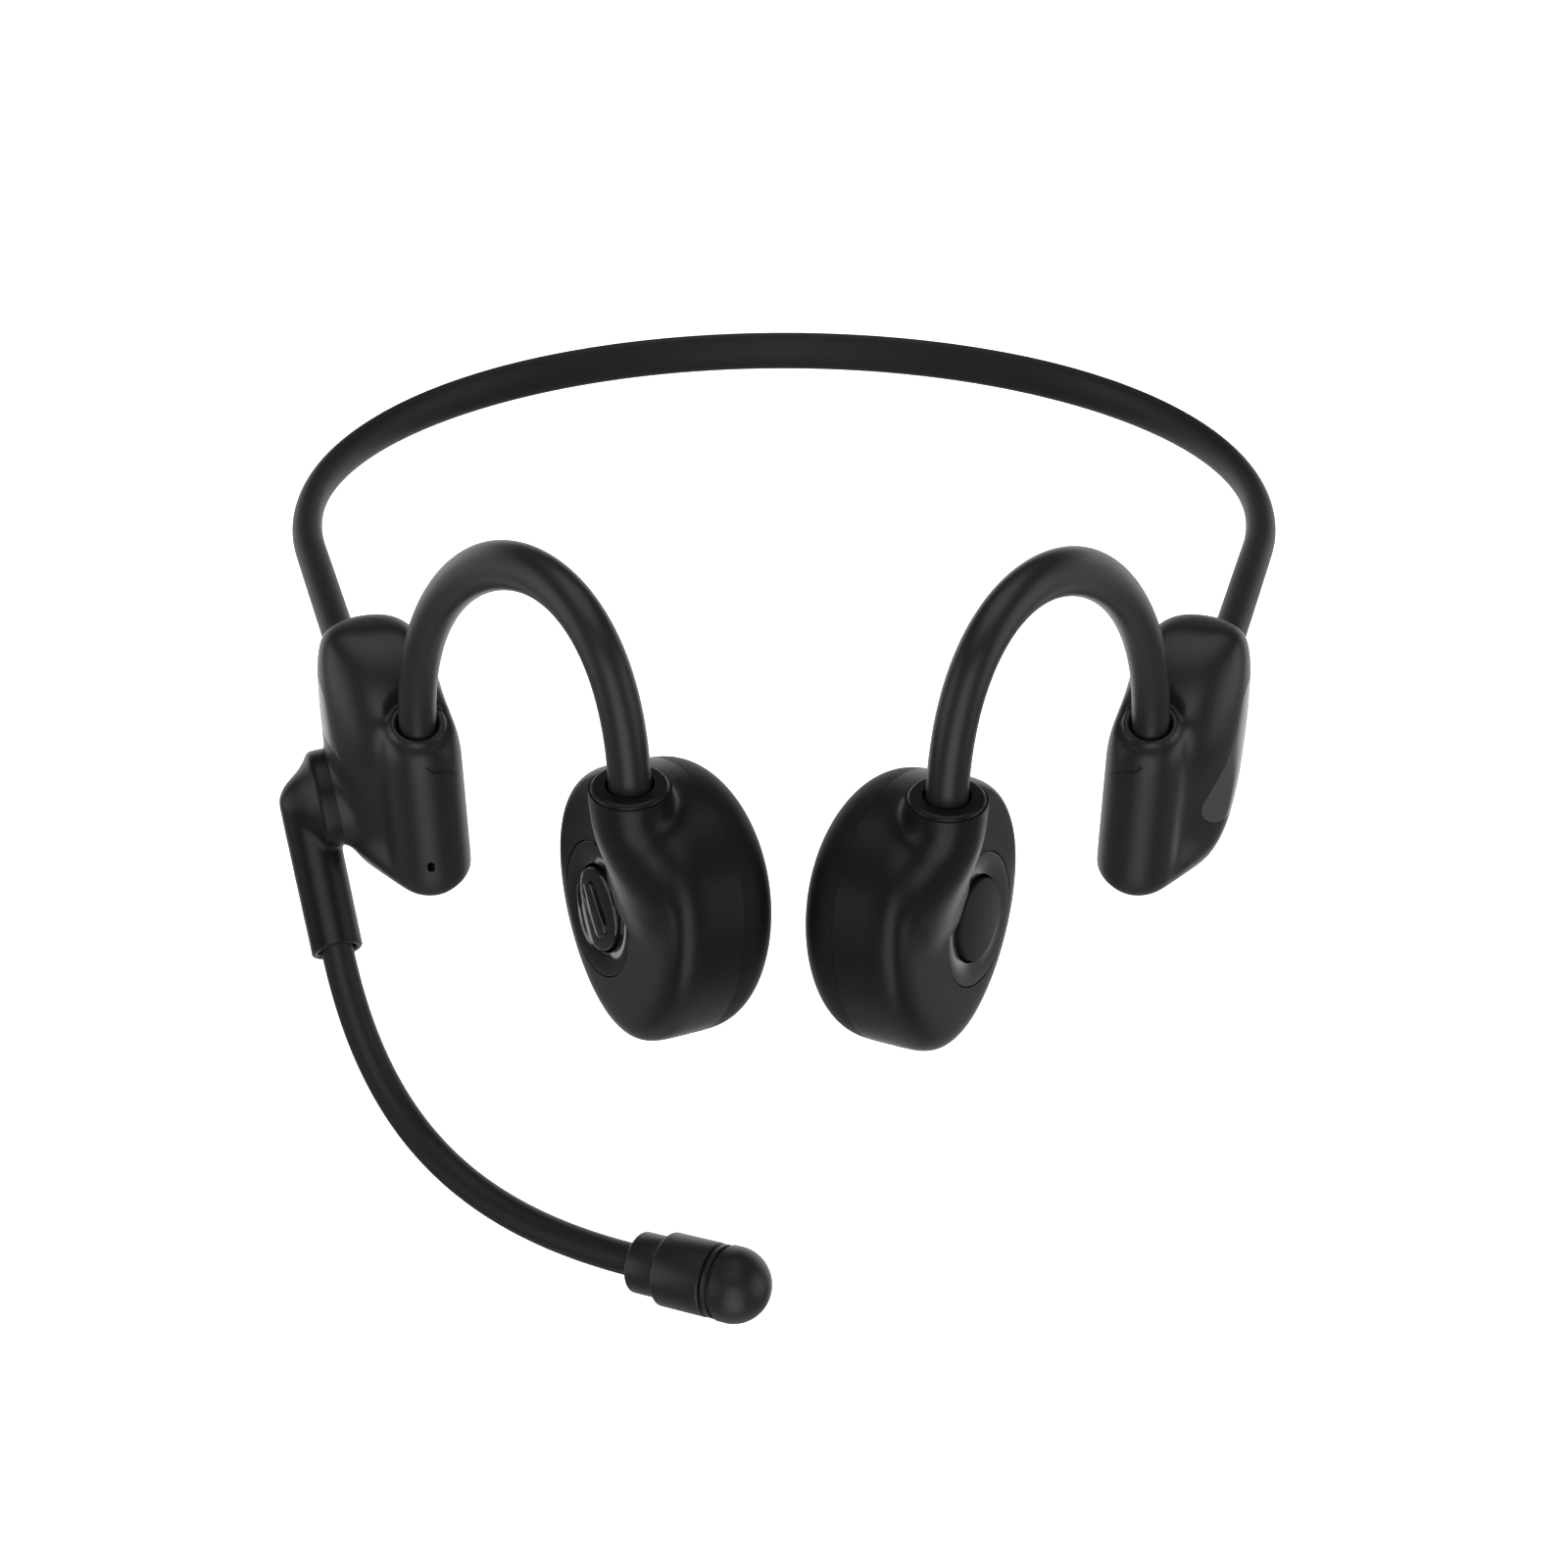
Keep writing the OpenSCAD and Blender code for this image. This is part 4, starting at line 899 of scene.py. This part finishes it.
def ridge():
    """Neck and ridge as one smooth tube through the stops, wide and flat down the front edge."""
    last = len(RIDGE) - 1
    points, widths, heights = [], [], []
    for step in range(RIDGE_STEPS + 1):
        along = last * step / RIDGE_STEPS
        i = min(int(along), last - 1)
        before, near, far, after = (Vector(RIDGE[min(max(k, 0), last)][0]) for k in range(i - 1, i + 3))
        share = along - i
        bend = 2 * before - 5 * near + 4 * far - after
        twist = 3 * near - before - 3 * far + after
        points.append(0.5 * (2 * near + (far - before) * share + bend * share ** 2 + twist * share ** 3))
        widths.append(mix(RIDGE[i][1], RIDGE[i + 1][1], share))
        heights.append(mix(RIDGE[i][2], RIDGE[i + 1][2], share))
    return sleeve(points, Vector((1, 0, 0)), widths, heights)


pad_body = melted(together(puck(), ridge()), *PAD_MELT)
neck_r = NECK_D / 2
neck_top = turned([(0, 0), *arc(neck_r - NECK_EDGE, -NECK_EDGE, NECK_EDGE, 90, 0),
                   (neck_r + NECK_SPARE, -NECK_EDGE), (neck_r + NECK_SPARE, NECK_CUT), (0, NECK_CUT)],
                  AT_NECK)
pad_body = cut(pad_body, neck_top)
ring_floor = AT_BUTTON @ lift(PAD_FACE - BEZEL_T)
pad_body = cut(
    pad_body,
    rod(NECK_BORE, NECK_DEPTH + BORE_SPARE, AT_NECK @ lift(-NECK_DEPTH)),
    rod(BEZEL_D + 2 * BEZEL_GAP, BEZEL_T + BEZEL_SPARE, ring_floor),
    rod(BUTTON_D + 2 * BUTTON_GAP, BUTTON_CUT, ring_floor @ lift(-BUTTON_WELL)),
    rod(PAD_W - 2 * PAD_WALL, 2 * (PAD_FACE - PAD_FLOOR), OUTWARD @ lift(PAD_FLOOR - PAD_FACE)),
)
above_seam = OUTWARD @ lift(PAD_SPLIT - PAD_SPLIT_GAP / 2)
below_seam = OUTWARD @ lift(PAD_SPLIT + PAD_SPLIT_GAP / 2 - CLEAR)
pad_cover = cut(pad_body.copy(), rod(CLEAR, CLEAR, above_seam))
pad_housing = cut(pad_body, rod(CLEAR, CLEAR, below_seam))
for side in ("right", "left"):
    made = pad_housing.copy()
    bmesh.ops.transform(made, matrix=PAD[side], verts=made.verts)
    piece(made, f"{side}_pad_shell", pad_painted_shade_black, "shell_black", "headset", f"{side}_pad_housing")

# Pad covers: soft moulded silicone caps that lie on the cheekbone, pressed over the skin side of
# each housing and meeting it in one flush seam.
for side in ("right", "left"):
    made = pad_cover.copy()
    bmesh.ops.transform(made, matrix=PAD[side], verts=made.verts)
    piece(made, f"{side}_pad_cap", cover_black, "cover_black", "headset", f"{side}_pad_cover")

# Button rings and buttons: plastic rings pressed into the pad's face, and round keys that stand a
# little proud of them. The right pair is polished and its key has a raised bar, the left key is
# plain and matt.
GLOSS_DARK = (0.005, 0.005, 0.0055, 1)
GLOSS_LIGHT = (0.008, 0.008, 0.0085, 1)
gloss_black = moulding("gloss_black", GLOSS_DARK, GLOSS_LIGHT, smooth=0.06, rough=0.1, grain=900,
                       depth=0.001, gloss=0.5)
SATIN_DARK = (0.02, 0.02, 0.0205, 1)
SATIN_LIGHT = (0.026, 0.026, 0.0265, 1)
satin_grey = moulding("satin_grey", SATIN_DARK, SATIN_LIGHT, smooth=0.22, rough=0.28, grain=900,
                      depth=0.002, gloss=0.5)
BAR_W = 2.8
BAR_LEN = 6.8
BAR_UP = 0.35
BAR_TURN = radians(38)
BAR_SINK = 0.5
BAR_EDGE = 0.15
RING_EDGE = 0.15
KEY_EDGE = 0.25
KEY_DEPTH = 2.6
ROUND_STEPS = 96
for side in ("right", "left"):
    outer, inner, floor = BEZEL_D / 2, BUTTON_D / 2 + BUTTON_GAP, PAD_FACE - BEZEL_T
    ring = turned([(inner, floor), (outer, floor), (outer, PAD_FACE), (inner, PAD_FACE - BEZEL_DISH)],
                  PAD[side] @ AT_BUTTON, closed=True, steps=ROUND_STEPS)
    break_edges(ring, RING_EDGE)
    polish = gloss_black if side == "right" else satin_grey
    piece(ring, f"{side}_button_ring", polish, "gloss_black", "headset", f"{side}_pad_bezel")
    top, foot = PAD_FACE + BUTTON_PROUD, PAD_FACE - KEY_DEPTH
    key = turned([(0, foot), (BUTTON_D / 2, foot), (BUTTON_D / 2, top), (0, top)], AT_BUTTON,
                 steps=ROUND_STEPS)
    break_edges(key, KEY_EDGE)
    if side == "right":
        at_bar = AT_BUTTON @ lift(top - BAR_SINK) @ Matrix.Rotation(BAR_TURN, 4, "Z")
        bar = stadium(BAR_W, BAR_LEN, BAR_UP + BAR_SINK, at_bar)
        break_edges(bar, BAR_EDGE)
        key = cut(key, bar, operation="UNION")
    bmesh.ops.transform(key, matrix=PAD[side], verts=key.verts)
    finish = gloss_black if side == "right" else cover_black
    piece(key, f"{side}_key", finish, "gloss_black", f"{side}_button", f"{side}_pad_button")

# Boom arm: a satin plastic moulding that turns on the right pod's boss, on a friction washer. A
# disc rises in a hollow curve to a round arm, which ends in a rounded lip round the stem's socket.
ARM_TURN = radians(-14.5)
ARM_SEAM = 0.03
WASHER_SEAT_D = 11
WASHER_ROOM = 0.42
ARM_Z = 10.6
ARM_D = 6.9
ARM_LEN = 21.5
ARM_SPARE = 3
ARM_CUT = 20
ARM_DISC = 2.1
DISC_SPARE = 2
ARM_MELT = (0.3, 16)
ARM_SKIN_MELT = (0.2, 4)
ELBOW = ((5.2, 9.9), (4.2, 10.9), (3.4, 12), (2.6, 13), (1.2, 13.9), (0, 14.05))
STEM_D = 4.3
STEM_IN = 5.7
STEM_ROOM = 0.5
STEM_CUT = 10
LIP_IN = 5.2
LIP_DEPTH = 1.6
LIP_EDGE = 0.42
LIP_TILT = radians(36)
LIP_SPARE = 1.5
LIP_CUT = 8
AT_ARM = AT_HUB @ Matrix.Rotation(ARM_TURN, 4, "Z")
ALONG_ARM = AT_ARM @ lift(ARM_Z) @ Matrix.Rotation(pi / 2, 4, "Y")

disc = turned([(0, HUB_SEAM - DISC_SPARE), (HUB_D / 2, HUB_SEAM - DISC_SPARE),
               (HUB_D / 2, HUB_SEAM + ARM_DISC), *ELBOW], AT_ARM)
tube = rod(ARM_D, ARM_LEN + ARM_SPARE, ALONG_ARM)
knob = bmesh.new()
bmesh.ops.create_uvsphere(knob, u_segments=48, v_segments=24, radius=ARM_D / 2,
                          matrix=AT_ARM @ lift(ARM_Z))
arm = melted(melted(together(disc, tube, knob), *ARM_MELT), *ARM_SKIN_MELT)
arm_r, lip_r, lip_z = ARM_D / 2, LIP_IN / 2, ARM_LEN - LIP_EDGE
arm_end = turned([(0, ARM_LEN - LIP_DEPTH), (lip_r, ARM_LEN - LIP_DEPTH), (lip_r, lip_z),
                  *arc(lip_r + LIP_EDGE, lip_z, LIP_EDGE, 180, 90),
                  *arc(arm_r - LIP_EDGE, lip_z, LIP_EDGE, 90, 0), (arm_r + LIP_SPARE, lip_z),
                  (arm_r + LIP_SPARE, ARM_LEN + LIP_CUT), (0, ARM_LEN + LIP_CUT)])
for vert in arm_end.verts:
    vert.co.z += vert.co.y * tan(LIP_TILT)
bmesh.ops.transform(arm_end, matrix=ALONG_ARM, verts=arm_end.verts)
arm = cut(arm, arm_end)
arm = cut(
    arm,
    rod(3 * HUB_D, ARM_CUT, AT_ARM @ lift(HUB_SEAM + ARM_SEAM - ARM_CUT)),
    rod(WASHER_SEAT_D, ARM_CUT, AT_ARM @ lift(HUB_SEAM + WASHER_ROOM - ARM_CUT)),
    rod(STEM_D + STEM_ROOM, STEM_CUT, ALONG_ARM @ lift(ARM_LEN - STEM_IN - END_PLAY)),
    rod(PIN_D + PLAY, STEM_CUT, AT_ARM),
)
bmesh.ops.transform(arm, matrix=POD["right"], verts=arm.verts)
# The arm takes the pads' darker tone: painted shade over the shell plastic.
piece(arm, "arm_moulding", pad_painted_shade_black, "shell_black", "boom", "boom_arm")

# Boom stem: a plain silicone tube over a soft wire that holds its bend. It is bonded into the arm's
# socket at one end and the microphone's collar at the other.
STEM_STEPS = 72
STEM_LEAD = 29
STEM_TRAIL = 25
MIC_ROOT = Vector((-18.76, -35.68, -47.94))
MIC_HEADING = Vector((0.8735, -0.4547, 0.1737)).normalized()
MIC_IN = 2.7
to_arm = POD["right"] @ ALONG_ARM
arm_mouth = to_arm @ Vector((0, 0, ARM_LEN))
arm_heading = (arm_mouth - to_arm @ Vector((0, 0, 0))).normalized()
guide = (arm_mouth, arm_mouth + STEM_LEAD * arm_heading, MIC_ROOT - STEM_TRAIL * MIC_HEADING, MIC_ROOT)
points = [bezier(guide, i / STEM_STEPS) for i in range(STEM_STEPS + 1)]
points = [arm_mouth - STEM_IN * arm_heading, *points, MIC_ROOT + MIC_IN * MIC_HEADING]
stem = sleeve(points, (MIC_ROOT - arm_mouth).cross(arm_heading).normalized(),
              [STEM_D] * len(points), [STEM_D] * len(points))
stem = piece(stem, "stem", soft_black, "soft_black", None, "boom_stem", "boom_wire", "boom_lead")
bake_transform(stem)

# Microphone: a collar bonded to the stem, a barrel, a ring held between two fine grooves and a
# rounded cap, all round plastic mouldings that push together along one axis.
COLLAR_D = 8
COLLAR_LEN = 4.4
BARREL_D = 9.6
BARREL_LEN = 7.2
GROOVE = 0.35
GROOVE_D = 8.6
RING_D = 9.5
RING_LEN = 0.7
DOME_D = 9.8
DOME_SKIRT = 1.2
COLLAR_EDGE = 0.5
COLLAR_BORE = 3
COLLAR_SPARE = 1
BARREL_EDGE = 0.4
MIC_RING_EDGE = 0.12
DOME_EDGE = 0.3
AT_MIC = Matrix.Translation(MIC_ROOT) @ MIC_HEADING.to_track_quat("Z", "Y").to_matrix().to_4x4()
collar = turned([(0, 0), (COLLAR_D / 2, 0), (COLLAR_D / 2, COLLAR_LEN), (0, COLLAR_LEN)], AT_MIC)
break_edges(collar, COLLAR_EDGE, segments=4)
at_bore = AT_MIC @ lift(-COLLAR_SPARE)
collar = cut(collar, rod(STEM_D + PLAY, COLLAR_BORE + COLLAR_SPARE, at_bore))
z = COLLAR_LEN + BARREL_LEN
barrel = turned([(0, COLLAR_LEN), (BARREL_D / 2, COLLAR_LEN), (BARREL_D / 2, z), (0, z)], AT_MIC)
break_edges(barrel, BARREL_EDGE, segments=4)
band_ring = turned([(0, z), (GROOVE_D / 2, z), (GROOVE_D / 2, z + GROOVE), (RING_D / 2, z + GROOVE),
                    (RING_D / 2, z + GROOVE + RING_LEN), (GROOVE_D / 2, z + GROOVE + RING_LEN),
                    (GROOVE_D / 2, z + 2 * GROOVE + RING_LEN), (0, z + 2 * GROOVE + RING_LEN)], AT_MIC)
break_edges(band_ring, MIC_RING_EDGE)
z += 2 * GROOVE + RING_LEN
dome_r = DOME_D / 2
dome = turned([(0, z), (dome_r - DOME_EDGE, z), (dome_r, z + DOME_EDGE), (dome_r, z + DOME_SKIRT),
               *arc(0, z + DOME_SKIRT, dome_r, start=4, end=86, steps=24), (0, z + DOME_SKIRT + dome_r)],
              AT_MIC)
for bm, name, node in (
    (collar, "mic_collar_moulding", "mic_collar"),
    (barrel, "mic_barrel_moulding", "mic_barrel"),
    (band_ring, "mic_ring", "mic_mesh"),
    (dome, "mic_cap", "mic_dome"),
):
    piece(bm, name, shell_black, "mesh_black" if node == "mic_mesh" else "shell_black", "microphone", node)

# Works inside: boards, cell, transducers, leads, screws and pins, left as the frame has them and
# given the finish of what each is made of.

# Dark and light tone, least and most roughness, and whether it is a metal
FINISHES = {
    "steel": ((0.5, 0.51, 0.53, 1), (0.66, 0.67, 0.69, 1), 0.28, 0.42, 1),
    "copper": ((0.5, 0.22, 0.1, 1), (0.66, 0.34, 0.18, 1), 0.3, 0.45, 1),
    "board_green": ((0.02, 0.12, 0.055, 1), (0.035, 0.18, 0.09, 1), 0.4, 0.55, 0),
    "cell_foil": ((0.44, 0.46, 0.48, 1), (0.56, 0.58, 0.6, 1), 0.3, 0.5, 1),
    "magnet": ((0.3, 0.31, 0.33, 1), (0.4, 0.41, 0.43, 1), 0.2, 0.32, 1),
    "gold": ((0.68, 0.5, 0.18, 1), (0.8, 0.6, 0.26, 1), 0.18, 0.3, 1),
    "mesh_black": ((0.006, 0.006, 0.0065, 1), (0.011, 0.011, 0.012, 1), 0.5, 0.6, 0),
}
inside = {"soft_black": soft_black, "cover_black": cover_black, "shell_black": shell_black,
          "gloss_black": gloss_black}
for name, (dark, light, smooth, rough, metallic) in FINISHES.items():
    inside[name] = moulding(name, dark, light, smooth, rough, grain=1800, patches=400, depth=0.004,
                            gloss=0.5)
    inside[name].node_tree.nodes["Principled BSDF"].inputs["Metallic"].default_value = metallic
for subpart in frame["record"]["subparts"]:
    mesh = frame["nodes"][subpart["node"]].data
    mesh.materials.clear()
    mesh.materials.append(inside[subpart["material_slot"]])
